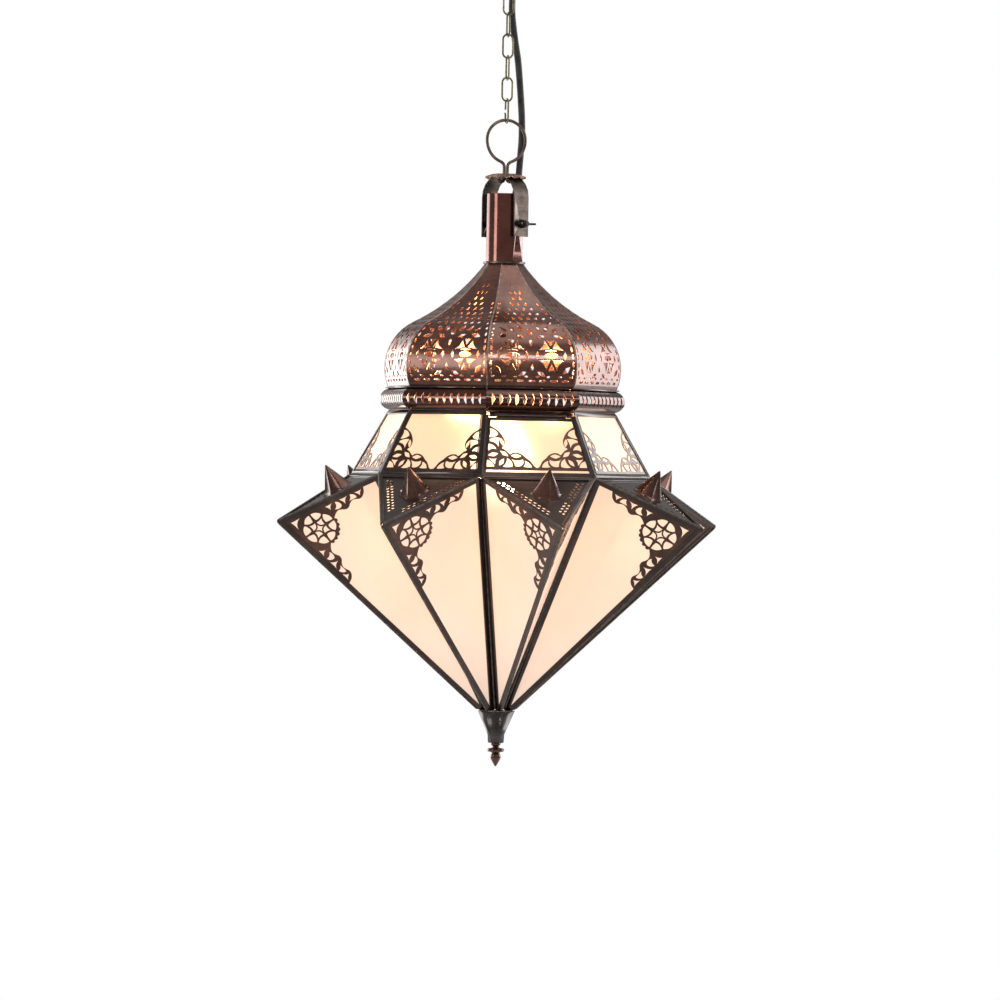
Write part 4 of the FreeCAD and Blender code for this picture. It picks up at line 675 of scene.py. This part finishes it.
def bent_over(section, foot_level):
    """Puts a flat point of a sheet, across and up in mm, on a bent section, at a depth under its face."""
    def put(across, up, depth):
        (ax, ay), (bx, by), share = stretch_at(section, up)
        run = math.hypot(bx - ax, by - ay)
        out = ax + (bx - ax) * share - (by - ay) / run * depth
        high = ay + (by - ay) * share + (bx - ax) / run * depth
        return Vector((across, -out, foot_level + high)) * mm

    return put


def pierced_sheet(edge, holes, put, thickness, bends=()):
    """A flat sheet cut out with its holes, bent over its levels and given its thickness."""
    loops = [edge] + holes
    flat = bmesh.new()
    corners = [flat.verts.new((x, y, 0)) for loop in loops for x, y in loop]
    for three in tessellate_polygon([[Vector((x, y, 0)) for x, y in loop] for loop in loops]):
        flat.faces.new([corners[i] for i in three])
    for level in bends:
        everything = flat.verts[:] + flat.edges[:] + flat.faces[:]
        bmesh.ops.bisect_plane(flat, geom=everything, plane_co=(0, level, 0), plane_no=(0, 1, 0))
    flat.verts.ensure_lookup_table()
    flat.verts.index_update()
    shape = bmesh.new()
    front = [shape.verts.new(put(vertex.co.x, vertex.co.y, 0)) for vertex in flat.verts]
    back = [shape.verts.new(put(vertex.co.x, vertex.co.y, thickness)) for vertex in flat.verts]
    for face in flat.faces:
        order = [vertex.index for vertex in face.verts]
        shape.faces.new([front[i] for i in order])
        shape.faces.new([back[i] for i in reversed(order)])
    for side in flat.edges:
        if len(side.link_faces) == 1:
            a, b = side.verts[0].index, side.verts[1].index
            shape.faces.new([front[a], front[b], back[b], back[a]])
    flat.free()
    bmesh.ops.recalc_face_normals(shape, faces=shape.faces)
    return shape


def spun(across, up, points, turn=0.0):
    """A loop of points, turned and moved to its place on the flat sheet."""
    c, s = math.cos(turn), math.sin(turn)
    return [(across + x * c - y * s, up + x * s + y * c) for x, y in points]


def drop(across, up, long, wide, turn=0.0):
    """A drop-shaped hole, its point towards its own up."""
    points = []
    for i in range(14):
        angle = 2 * math.pi * i / 14
        x = wide / 2 * math.sin(angle) * math.sin(angle / 2) ** 1.3 * 1.25
        points.append((x, long / 2 * math.cos(angle)))
    return spun(across, up, points, turn)


def lens(across, up, long, wide, turn=0.0):
    """A hole between two arcs, pointed at both ends."""
    points = []
    for i in range(12):
        angle = 2 * math.pi * i / 12
        y = long / 2 * (1 - abs(math.sin(angle)) ** 1.4)
        points.append((wide / 2 * math.sin(angle), math.copysign(y, math.cos(angle))))
    return spun(across, up, points, turn)


def egg(across, up, long, wide, turn=0.0, steps=12):
    """An oval hole."""
    angles = [2 * math.pi * i / steps for i in range(steps)]
    return spun(across, up, [(wide / 2 * math.cos(a), long / 2 * math.sin(a)) for a in angles], turn)


def bowed(corners, steps=5):
    """A loop through corners; each third number is how far the edge after it bows out, as a share of it."""
    points = []
    for (ax, ay, bow), (bx, by, _) in zip(corners, corners[1:] + corners[:1]):
        for i in range(steps):
            share = i / steps
            lift = 4 * bow * share * (1 - share)
            points.append((
                ax + (bx - ax) * share + (by - ay) * lift, ay + (by - ay) * share - (bx - ax) * lift))
    return points


dome_line = dome_section()
dome_length = along(dome_line)[-1]


def kept_inside(loops, margin, top):
    """The loops that leave a margin along the seams and stay below a height."""
    return [loop for loop in loops if all(
        abs(x) < half_width(dome_line, min(max(y, 0), top)) - margin and 1.6 < y < top for x, y in loop)]


rosette_across, rosette_up, leaf_reach = 18.9, 31.2, 20.6


def lace_rosette(side):
    """One rosette of the lace: an oval among blades and small triangles, with four leaves outside."""
    def in_ring(loop):
        return [(side * (rosette_across + x), rosette_up + y) for x, y in loop]

    holes = [in_ring(egg(0, -0.6, 5.4, 13.6)), in_ring(lens(0, 4.1, 11.6, 2.2, math.pi / 2))]
    for flip in (-1, 1):
        holes.append(in_ring(bowed([
            (flip * 1.5, 6.4, 0), (flip * 12.4, 4.6, flip * -0.14), (flip * 5.8, 14.6, 0)])))
        holes.append(in_ring(bowed([
            (flip * 1.3, -4.9, 0), (flip * 5.4, -14.6, flip * -0.14), (flip * 12.0, -5.4, 0)])))
        holes.append(in_ring(lens(flip * 13.6, -0.6, 8.0, 3.4)))
    holes.append(in_ring(bowed([(-3.4, 15.2, 0.06), (3.4, 15.2, 0), (0, 8.8, 0)], 3)))
    holes.append(in_ring(bowed([(-3.2, -15.2, -0.06), (3.2, -15.2, 0), (0, -8.6, 0)], 3)))
    for turn, long, wide in ((70, 11, 5.0), (-44, 10, 4.6), (113, 9.5, 4.6), (-118, 9, 4.0)):
        angle = math.radians(turn)
        across = rosette_across + leaf_reach * math.cos(angle)
        holes.append(lens(side * across, rosette_up + leaf_reach * math.sin(angle), long, wide, side * angle))
    return holes


# The drops thin out towards the neck: each row's height, its places across, and a drop's two sizes
drop_rows = [
    (56.5, (0,), 10.5, 6.0), (60.5, (8.6, 17.0), 10.0, 5.2), (58.5, (25.4,), 8.6, 4.4),
    (70, (0, 7.4, 14.8, 22.2), 7.8, 4.4), (79, (3.8, 11.2, 18.6), 7.6, 4.2), (87.5, (0, 7.4, 14.6), 7.2, 4.0),
    (96, (3.8, 10.8), 7.0, 3.8), (104.5, (0, 7.0), 6.8, 3.4), (113, (3.4,), 6.6, 3.0),
    (121.5, (0, 4.6), 6.4, 2.2), (131, (2.4,), 6.4, 1.8)]
foot_pitch, border_pitch, border_inset = 10.9, 7.4, 3.5


def dome_lace():
    """The holes of one dome sheet: two rosettes side by side, rows of drops over them, and a border."""
    holes = [egg((i - 3) * foot_pitch, 6.4, 2.8, 7.2) for i in range(7)]
    holes += [egg((i - 3.5) * foot_pitch, 10.4, 2.0, 3.8, 0, 8) for i in range(8)]
    holes += lace_rosette(-1) + lace_rosette(1)
    holes.append(drop(0, 42.6, 7.2, 3.8, math.pi))
    holes.append(drop(0, 19.6, 6.4, 3.4))
    for up, places, long, wide in drop_rows:
        for x in places:
            for side in ((-1, 1) if x else (1,)):
                holes.append(drop(side * x, up, long, wide, -side * x * 0.034))
    for i in range(13):
        up = 15 + border_pitch * i
        across = half_width(dome_line, up) - border_inset
        lean = math.atan((half_width(dome_line, up + 3) - half_width(dome_line, up - 3)) / 6)
        for side in (-1, 1):
            holes.append(egg(side * across, up, 5.4, 2.6, -side * lean, 8))
    return kept_inside(holes, 1.1, dome_length - 4)


dome_levels = [dome_length * i / 46 for i in range(1, 46)]
one_sheet = bpy.data.meshes.new("dome_sheet")
sheet_shape = pierced_sheet(
    sheet_edge(dome_line, dome_levels), dome_lace(), bent_over(dome_line, dome_foot_level),
    dome_sheet_thickness, dome_levels)
sheet_shape.to_mesh(one_sheet)
sheet_shape.free()
for number in range(8):
    sheet = one_sheet.copy()
    sheet.transform(Matrix.Rotation(2 * half_side * number, 4, "Z"))
    placed(f"dome_sheet_{number + 1}", sheet, brown_copper, "lantern", [f"dome_panel_{number + 1}"],
           32)
eased("dome_ledge", "dome_base_ring", dark_patina, "lantern")

# Bead band: a bulged copper strip under the dome, one length a side, with upright pointed slots
# that show the light inside. The dome's base ring lies on it.
band_radius, band_bulge, band_height = 110, 8.9, 20.4
band_foot_level = -460.07
slot_pitch = 7.7
band_line = []
for i in range(13):
    share = i / 12
    out = band_radius + band_bulge * math.sin(math.pi * share) ** 0.62
    band_line.append((out * math.cos(half_side), band_height * share))
band_reach = along(band_line)
band_slots = [lens((i - 5) * slot_pitch, band_reach[-1] / 2, 13.6, 3.6) for i in range(11)]


def once_round(given, add):
    """Copies of a piece turned about the lantern's axis, one side after another."""
    places = add("GeometryNodeMeshLine", {"Count": given["Count"], "Offset": (0.0, 0.0, 0.0)})
    number = add("GeometryNodeInputIndex", {})
    steps = add("ShaderNodeMath", {0: number, 1: given["Start"]}, operation="ADD")
    turn = add("ShaderNodeMath", {0: steps, 1: 2 * half_side}, operation="MULTIPLY")
    rotation = add("ShaderNodeCombineXYZ", {"Z": turn})
    return add("GeometryNodeInstanceOnPoints", {
        "Points": places, "Instance": given["Geometry"], "Rotation": rotation})


round_tree = node_tree("once_round", {"Count": "NodeSocketInt", "Start": "NodeSocketFloat"}, once_round)


def repeated(name, shape, paint, nodes, count=8, start=0.0, crease=35):
    """One side's piece, repeated round the lantern and set on it."""
    side = bpy.data.meshes.new(name + "_side")
    shape.to_mesh(side)
    shape.free()
    source = bpy.data.objects.new(name + "_side", side)
    bpy.context.scene.collection.objects.link(source)
    built = built_by(round_tree, source, name + "_all", Count=count, Start=start, Finish=paint)
    mesh = built.data
    bpy.data.objects.remove(built)
    return placed(name, mesh, paint, "lantern", nodes, crease)


maroon_copper = copper_finish(
    "maroon_copper", (0.025, 0.008, 0.006), (0.07, 0.020, 0.013), (0.16, 0.06, 0.04), 0.14, 0.4)
band_strip = pierced_sheet(
    sheet_edge(band_line, band_reach[1:-1]), band_slots, bent_over(band_line, band_foot_level),
    dome_sheet_thickness, band_reach[1:-1])
repeated("bulged_band", band_strip, maroon_copper, ["bead_band"], crease=32)

# Drum: eight trapeze-shaped panels between the bead band and the waist, each a soldered frame with
# a frosted pane and a lace of sheet copper in its lower corners. One of them, in front, is the door.
drum_top_level = -460.37
waist_radius, waist_level = 145.3, -521.87


def corner(turn, radius, level):
    """A place on the lantern, in mm: its turn from the front, how far out and how high."""
    return Vector((radius * math.sin(turn), -radius * math.cos(turn), level))


def on_plane(origin, along_x, along_y, depth_shift=0.0):
    """Puts a flat point, in mm, on a face of the lantern; depth goes towards the lantern's axis."""
    x_way = along_x.normalized()
    y_way = (along_y - x_way * along_y.dot(x_way)).normalized()
    inward = x_way.cross(y_way)
    if inward.dot(Vector((0, 0, waist_level)) - origin) < 0:
        inward = -inward

    def put(x, y, depth):
        return (origin + x_way * x + y_way * y + inward * (depth + depth_shift)) * mm

    return put


def smoothed(points, steps=4):
    """A soft curve through given points."""
    soft = []
    for i in range(len(points) - 1):
        a, b = points[max(i - 1, 0)], points[i]
        c, d = points[i + 1], points[min(i + 2, len(points) - 1)]
        for k in range(steps):
            t = k / steps
            soft.append(tuple(0.5 * (
                2 * b[n] + (c[n] - a[n]) * t + (2 * a[n] - 5 * b[n] + 4 * c[n] - d[n]) * t * t
                + (3 * b[n] - a[n] - 3 * c[n] + d[n]) * t ** 3) for n in (0, 1)))
    return soft + [points[-1]]


def anticlockwise(loop):
    """The same loop, its points in anticlockwise order."""
    area = sum(ax * by - bx * ay for (ax, ay), (bx, by) in zip(loop, loop[1:] + loop[:1]))
    return loop if area > 0 else loop[::-1]


# One corner's openings, in mm from the frame's inner corner, along the foot and up the slope
drum_openings = [
    bowed([(8.9, 43.4, -0.1), (7.2, 34.0, 0.12), (16.4, 37.2, 0.16)]),
    bowed([(7.2, 31.6, 0.0), (7.6, 29.6, -0.18), (15.2, 23.6, -0.06), (17.8, 33.4, 0.1)]),
    bowed([(6.4, 27.2, 0.1), (5.2, 19.9, -0.16), (12.9, 21.2, 0.16)]),
    bowed([(4.2, 12.1, 0.0), (10.2, 5.0, -0.14), (12.2, 11.9, -0.1)]),
    bowed([(2.4, 10.2, 0.0), (1.5, 3.0, 0.0), (9.0, 3.2, 0.16)]),
    bowed([(22.0, 12.4, -0.12), (16.9, 3.3, 0.08), (26.6, 3.6, 0.18)]),
    bowed([(25.6, 11.6, -0.1), (28.8, 3.9, 0.1), (34.6, 4.2, 0.2), (37.0, 11.2, -0.14)]),
    bowed([(38.6, 10.0, -0.16), (36.8, 3.4, 0.05), (45.4, 2.9, 0.14)]),
    lens(9.2, 15.9, 10.4, 4.4, math.radians(-78)),
    lens(16.3, 8.0, 9.4, 4.2, math.radians(-36)),
    lens(19.9, 17.0, 9.4, 4.4, math.radians(52)),
    lens(31.0, 14.7, 10.6, 4.8, math.radians(-90)),
    lens(19.2, 29.0, 9.2, 3.6, math.radians(12)),
]
# The lace's free edge, from its top on the side bar down to the middle of the foot
drum_edge = smoothed([
    (8.9, 46.6), (13.0, 43.8), (17.2, 40.2), (20.2, 35.4), (21.9, 30.4), (20.9, 25.8), (18.3, 22.7),
    (21.4, 20.6), (25.6, 16.4), (28.2, 17.9), (32.6, 18.1), (37.2, 16.0), (40.6, 12.4), (44.4, 9.0),
    (47.6, 3.6), (50.0, 2.2)])
drum_foot_half, drum_side_lean, drum_bar = 50.6, 0.194, 4.6
under_side_bar, under_foot_bar = 0.5, 0.2
lace_thickness, lace_depth = 0.55, 0.6


def drum_lace(raised):
    """A panel's lace: both corners, and the strip between them along the foot; the door's is raised."""
    foot = drum_bar + raised

    def in_corner(loop, side):
        return [(side * (x - drum_foot_half + drum_side_lean * raised), y + foot) for x, y in loop]

    half_foot = drum_foot_half - drum_side_lean * foot + under_side_bar
    edge = in_corner(drum_edge, 1) + in_corner(drum_edge, -1)[-2::-1]
    edge += [(half_foot, foot - under_foot_bar), (-half_foot, foot - under_foot_bar)]
    holes = [in_corner(loop, side) for loop in drum_openings for side in (1, -1)]
    return anticlockwise(edge), holes


drum_foot = corner(0, waist_radius * math.cos(half_side), waist_level)
drum_head = corner(0, band_radius * math.cos(half_side), drum_top_level)
drum_put = on_plane(drum_foot, Vector((1, 0, 0)), drum_head - drum_foot, lace_depth)
lace_copper = copper_finish(
    "lace_copper", (0.022, 0.011, 0.008), (0.07, 0.028, 0.018), (0.19, 0.08, 0.05), 0.25)
repeated("drum_lace", pierced_sheet(*drum_lace(0), drum_put, lace_thickness), lace_copper,
         ["drum_filigree"], 7, 1.0)
placed("door_lace", pierced_sheet(*drum_lace(3.0), drum_put, lace_thickness), lace_copper, "door",
       ["door_filigree"])
eased("drum_bars", "drum_frames", dark_patina, "lantern")
eased("door_bars", "door_frame", dark_patina, "door")

# Two strips behind the door's side bars, on which it shuts
stop_behind, stop_thickness = 3.4, 0.6
stops = bmesh.new()
behind = (drum_head - drum_foot).cross(Vector((1, 0, 0))).normalized()
for side in (-1, 1):
    foot = corner(side * half_side, waist_radius, waist_level)
    way = corner(side * half_side, band_radius, drum_top_level) - foot
    low, high = (foot + behind * stop_behind + way * share for share in (0.03, 0.96))
    inner, outer = Vector((-side * 3.4, 0, 0)), Vector((side * 4.5, 1.6, 0))
    strip = [low + inner, low + outer, high + outer, high + inner]
    prism(stops, *([stops.verts.new((point + behind * depth) * mm) for point in strip]
                   for depth in (0, stop_thickness)))
bmesh.ops.recalc_face_normals(stops, faces=stops.faces)
placed("door_stops", stops, dark_patina, "lantern", [])
eased("lintel", "door_lintel", dark_patina, "lantern", 0.2)
painted(dark_patina, "door_hinge_pin")

# Frosted glass, 1.5 mm thick and ground on the inner side, held behind the frames of the drum and
# the lower star: the bulb shows as a soft bright patch in it.
bulb_middle = (0.0, 0.0, -0.495)
# Painted glow: the glass emits light itself, its colour warmest and brightest nearest the bulb and fading
# with distance from it, in place of the bulb's light scattered in the frosting
frosted, place, join = new_finish("frosted_glass", Emission_Strength=1.0, Transmission_Weight=0.5)
from_bulb = place.node("ShaderNodeVectorMath", {"operation": "DISTANCE"}, {0: place, 1: bulb_middle}, 1)
mottle = place.noise(11, 3)
painted_glow_fade = from_bulb * 4.0 + mottle * 0.16 - 0.08
join(bump=place.noise(420, 2), depth=0.00005,
     Base_Color=mottle.ramp((0.3, (0.44, 0.36, 0.29)), (0.7, (0.50, 0.42, 0.34))),
     Emission_Color=painted_glow_fade.ramp(
         (0.36, (0.56, 0.38, 0.23)), (0.47, (0.56, 0.36, 0.23)), (0.58, (0.60, 0.39, 0.29)),
         (0.80, (0.55, 0.40, 0.33)), (1.0, (0.40, 0.33, 0.29))),
     Roughness=mottle * 0.08 + 0.2)
painted(frosted, "drum_glass", "door_glass", "lower_glass")

# Star: eight sheet plates slope out from the waist to the tips, pierced in two rows along their
# edges, each in a soldered frame and carrying one fluted spike.
tip_radius, tip_level = 220.3, -568.07
waist_left, waist_right = (corner(side * half_side, waist_radius, waist_level) for side in (-1, 1))
waist_middle = (waist_left + waist_right) / 2
tip = corner(0, tip_radius, tip_level)
plate_thickness, plate_depth = 0.8, 1.2
plate_put = on_plane(waist_middle, waist_right - waist_left, tip - waist_middle, plate_depth)
plate_long, plate_half = (tip - waist_middle).length, (waist_right - waist_left).length / 2
side_gap, foot_gap, tip_gap = 5.2, 2.6, 7.5
foot_half = plate_half - side_gap
plate_edge = [(-foot_half, foot_gap), (foot_half, foot_gap), (0, plate_long - tip_gap)]
plate_hole_start, plate_hole_pitch = 16, 6.0
plate_holes = []
edge_way = Vector((-plate_half, plate_long)).normalized()
edge_in = Vector((-edge_way.y, edge_way.x))
edge_lean = math.atan2(-edge_way.x, edge_way.y)
for row, inset in ((0, 8.4), (1, 12.4)):
    for i in range(12):
        reach = plate_hole_start + plate_hole_pitch * (i + row / 2)
        at = Vector((plate_half, 0)) + edge_way * reach + edge_in * inset
        if at.x > 3.2:
            for side in (-1, 1):
                plate_holes.append(egg(side * at.x, at.y, 4.4, 2.8, side * edge_lean, 8))
plate_shape = pierced_sheet(anticlockwise(plate_edge), plate_holes, plate_put, plate_thickness)
repeated("plates", plate_shape, dark_patina, ["star_plates"])
eased("plate_bars", "star_plate_frames", dark_patina, "lantern")
spike_up, spike_height = 30, 26


def spike_shape():
    """A fluted cone on a scalloped skirt, standing square to its plate."""
    shape = bmesh.new()
    turns = [2 * math.pi * i / 64 for i in range(64)]
    rings = []
    for radius, height, flute in (
            (15.4, 0, 0.13), (15.0, 0.7, 0.13), (13.2, 1.6, 0.10), (12.4, 3.0, 0.10), (11.6, 4.6, 0.12),
            (9.0, 9.6, 0.12), (6.0, 15.4, 0.12), (3.0, 21, 0.10), (1.0, 25, 0.05)):
        rings.append([])
        for turn in turns:
            out = radius * (1 - flute * abs(math.sin(4 * turn)) ** 0.7)
            rings[-1].append(shape.verts.new(plate_put(
                out * math.cos(turn), spike_up + out * math.sin(turn), -height)))
    point = shape.verts.new(plate_put(0, spike_up, -spike_height))
    bridged(shape, rings + [[point] * len(turns)])
    shape.faces.new(rings[0][::-1])
    bmesh.ops.recalc_face_normals(shape, faces=shape.faces)
    return shape


spike_copper = copper_finish(
    "spike_copper", (0.03, 0.012, 0.009), (0.09, 0.033, 0.022), (0.22, 0.09, 0.06), 0.1)
repeated("cone_spikes", spike_shape(), spike_copper, ["spikes"], crease=28)

# Lower star: sixteen triangles fall from the tips and the waist to the collar, each a frame and a
# frosted pane, with a wheel of interlaced rings and two scalloped arms of sheet copper at the tip.
apex = Vector((0, 0, -763.87))
tip_bar = 5.3
wheel_middle, wheel_radius, wheel_bumps, bump_height = (35.0, 25.2), 18.0, 6, 1.7


def tip_lace():
    """The lace in a tip, in mm along the upper bar and square to it."""
    half_tip = (waist_right - tip).angle(apex - tip) / 2

    def mirrored(loop):
        c, s = math.cos(2 * half_tip), math.sin(2 * half_tip)
        return [(x * c + y * s, x * s - y * c) for x, y in loop]

    def round_middle(turn, *corners):
        """A loop about the wheel's middle; each corner is a radius, an angle in degrees and a bow."""
        return spun(*wheel_middle, bowed([
            (out * math.cos(math.radians(angle)), out * math.sin(math.radians(angle)), bow)
            for out, angle, bow in corners]), half_tip + turn)

    arm = smoothed([
        (93, tip_bar), (91.2, 10.2), (88, 13.6), (84.4, 14.8), (80.4, 13.5), (77.2, 13.2), (73.8, 15.0),
        (70.8, 18.0), (67.2, 18.8), (63.4, 17.2), (59.8, 16.6), (56.6, 18.2), (54.0, 20.6)], 3)
    rim = []
    first, last = math.radians(-10), 2 * half_tip + math.radians(10)
    for i in range(wheel_bumps * 6 + 1):
        angle = first + (last - first) * i / (wheel_bumps * 6)
        out = wheel_radius + bump_height * abs(math.sin(math.pi * i / 6))
        rim.append((wheel_middle[0] + out * math.cos(angle), wheel_middle[1] + out * math.sin(angle)))
    edge = arm + rim + mirrored(arm)[::-1] + [(tip_bar / math.tan(half_tip), tip_bar)]
    arm_holes = [
        bowed([(49.6, 8.0, -0.05), (58.2, 7.4, -0.16), (53.8, 13.8, -0.1)]),
        bowed([(60.8, 7.6, 0.2), (65.6, 13.2, 0.1), (63.0, 15.2, 0.1), (57.6, 14.6, -0.18)]),
        bowed([(65.4, 7.2, -0.05), (75.0, 6.9, -0.16), (69.6, 14.4, -0.1)]),
        bowed([(77.4, 7.1, 0.2), (82.6, 11.8, 0.1), (80.6, 12.4, 0.0), (73.9, 12.6, -0.16)]),
        bowed([(81.4, 6.9, -0.05), (90.2, 6.8, -0.1), (86.2, 12.2, -0.12)]),
    ]
    wheel_holes = [round_middle(0, *((4.8, 45 + 90 * i, -0.2) for i in range(4)))]
    for i in range(4):
        turn = math.pi / 2 * i
        wheel_holes.append(round_middle(turn, (6.7, -36, -0.1), (10.6, 0, -0.1), (6.7, 36, 0.24)))
        wheel_holes.append(round_middle(turn, (14.9, 3.4, 0.15), (16.2, 41.2, 0.05), (8.9, 33, 0.14)))
        wheel_holes.append(round_middle(turn, (8.9, -33, 0.05), (16.2, -41.2, 0.15), (14.9, -3.4, 0.14)))
    corner_hole = bowed([(12.4, 8.4, -0.04), (22.4, 7.9, -0.16), (15.9, 18.8, -0.04)])
    holes = arm_holes + [mirrored(loop) for loop in arm_holes] + wheel_holes + [corner_hole]
    return anticlockwise(edge), holes


tip_edge, tip_holes = tip_lace()
both_tips = bmesh.new()
for waist_end in (waist_right, waist_left):
    one_tip = bpy.data.meshes.new("one_tip")
    tip_put = on_plane(tip, waist_end - tip, apex - tip, lace_depth)
    tip_shape = pierced_sheet(tip_edge, tip_holes, tip_put, lace_thickness)
    tip_shape.to_mesh(one_tip)
    tip_shape.free()
    both_tips.from_mesh(one_tip)
    bpy.data.meshes.remove(one_tip)
repeated("tip_lace", both_tips, lace_copper, ["lower_filigree"])
eased("lower_bars", "lower_frames", dark_patina, "lantern")

# Solder: the frames are run together with solder along every ridge and valley, and the dome's
# sheets along their corners, where it stands proud as a light seam.
solder, place, join = new_finish("old_solder", Metallic=0.55)
lumps = place.noise(240, 3)
join(bump=lumps, depth=0.0002, Roughness=lumps * 0.3 + 0.28,
     Base_Color=lumps.ramp((0.3, (0.05, 0.038, 0.033)), (0.7, (0.17, 0.13, 0.115))))


def run_of(name, lines, radius, paint):
    """Solder run along lines of the lantern."""
    wire_piece(name, [([tuple(point) for point in line], False) for line in lines], radius, 8,
               paint, "lantern", [])


def inset_line(start, end, inset, trim):
    """A line beside a ridge, taken towards the lantern's middle and shortened at both ends."""
    inward = (Vector((0, 0, (start.z + end.z) / 2)) - (start + end) / 2).normalized() * inset
    way = (end - start).normalized() * trim
    return [start + inward + way, end + inward - way]


collar_level, collar_ridge, collar_valley = -747.6, 18.6, 12.4
drum_side = (corner(half_side, band_radius, drum_top_level), waist_right)
valley = (waist_right, corner(half_side, collar_valley, collar_level))
ridge = (tip, corner(0, collar_ridge, collar_level))
ridge_lines = []
for number in range(8):
    around = Matrix.Rotation(2 * half_side * number, 4, "Z")
    lines = [inset_line(tip, waist_left, 1.6, 3), inset_line(tip, waist_right, 1.6, 3),
             inset_line(*ridge, 1.5, 3), inset_line(*valley, 1.5, 3)]
    # The door's two sides and its foot stay free of solder
    if number:
        lines.insert(0, inset_line(waist_left, waist_right, 1.4, 0))
    if number not in (0, 7):
        lines.insert(0, inset_line(*drum_side, 1.2, 2))
    ridge_lines += [[around @ point for point in line] for line in lines]
run_of("ridge_solder", ridge_lines, 1.0, solder)
top_run_radius, top_run_level = 108.4, -460.6
top_run = [corner(half_side * (2 * k + 1), top_run_radius, top_run_level) for k in range(9)]
run_of("drum_top_solder", [top_run], 1.1, solder)
bead_radius, bead_reach, bead_level = 2.1, 142.4, -522.0
beads = bmesh.new()
for number in range(8):
    bead = bmesh.ops.create_icosphere(beads, subdivisions=2, radius=bead_radius * mm)
    at = corner(half_side * (2 * number + 1), bead_reach, bead_level)
    bmesh.ops.translate(beads, verts=bead["verts"], vec=at * mm)
placed("waist_solder", beads, solder, "lantern", [])
seam_solder, place, join = new_finish("seam_solder", Metallic=0.6)
lumps = place.noise(260, 3)
join(bump=lumps, depth=0.00015, Roughness=lumps * 0.25 + 0.22,
     Base_Color=lumps.ramp((0.3, (0.17, 0.10, 0.08)), (0.7, (0.46, 0.34, 0.29))))
seam_sunk = 0.45
seam_lines = []
for number in range(8):
    seam_lines.append([
        corner(half_side * (2 * number + 1), out / math.cos(half_side) - seam_sunk, dome_foot_level + high)
        for out, high in dome_line[::2]])
run_of("dome_seams", seam_lines, 0.75, seam_solder)

# Foot: a tapered eight-sided collar of darkened sheet, soldered over the points of the triangles,
# and a turned finial screwed up into it.
sooty_copper = copper_finish(
    "sooty_copper", (0.016, 0.013, 0.012), (0.04, 0.033, 0.03), (0.12, 0.105, 0.10), 0.22)
eased("foot_collar", "bottom_collar", sooty_copper, "lantern", 0.4)
placed("turned_finial", turned([
    (0, -776.6), (3.2, -777.0), (4.6, -778.4), (4.8, -779.4), (4.4, -780.6), (3.2, -781.6), (3.0, -782.6),
    (4.2, -783.4), (7.4, -784.0), (8.2, -785.0), (8.2, -785.9), (7.4, -786.9), (4.4, -787.5), (3.6, -788.4),
    (4.6, -789.6), (5.2, -791.2), (4.9, -793.0), (3.6, -796.0), (1.6, -799.4), (0.5, -801.1),
    (0, -801.3)], 40), spike_copper, "lantern", ["finial"], 50)

# Lamp holder and bulb: a steel bridge across the dome's foot carries a nipple, a cord grip and a
# black moulded holder; the opal bulb screwed into it hangs behind the drum's panes and lights them.
painted(dull_steel, "holder_bridge", "threaded_nipple", "lock_nut", "bulb_cap")
painted(black_moulding, "cord_grip", "lampholder_cap", "lampholder_shell")
opal, place, join = new_finish("opal_glass", Emission_Strength=24.0)
haze = place.noise(60, 2)
join(Base_Color=haze.ramp((0.3, (0.8, 0.74, 0.64)), (0.7, (0.86, 0.8, 0.7))),
     Emission_Color=haze.ramp((0.2, (1, 0.72, 0.44)), (0.8, (1, 0.78, 0.5))), Roughness=haze * 0.2 + 0.2)
painted(opal, "bulb_glass")

# Three small lamps beside the holder stand for the light that the bulb throws up into the dome
glow_reach, glow_level = 52, -452
for number in range(3):
    glow_data = bpy.data.lights.new(f"bulb_light_{number + 1}", "POINT")
    glow_data.energy = 1.1
    glow_data.color = (1, 0.50, 0.2)
    glow_data.shadow_soft_size = 0.02
    glow = bpy.data.objects.new(f"bulb_light_{number + 1}", glow_data)
    glow.location = corner(math.radians(60 + 120 * number), glow_reach, glow_level) * mm
    bpy.context.scene.collection.objects.link(glow)

bpy.context.view_layer.update()
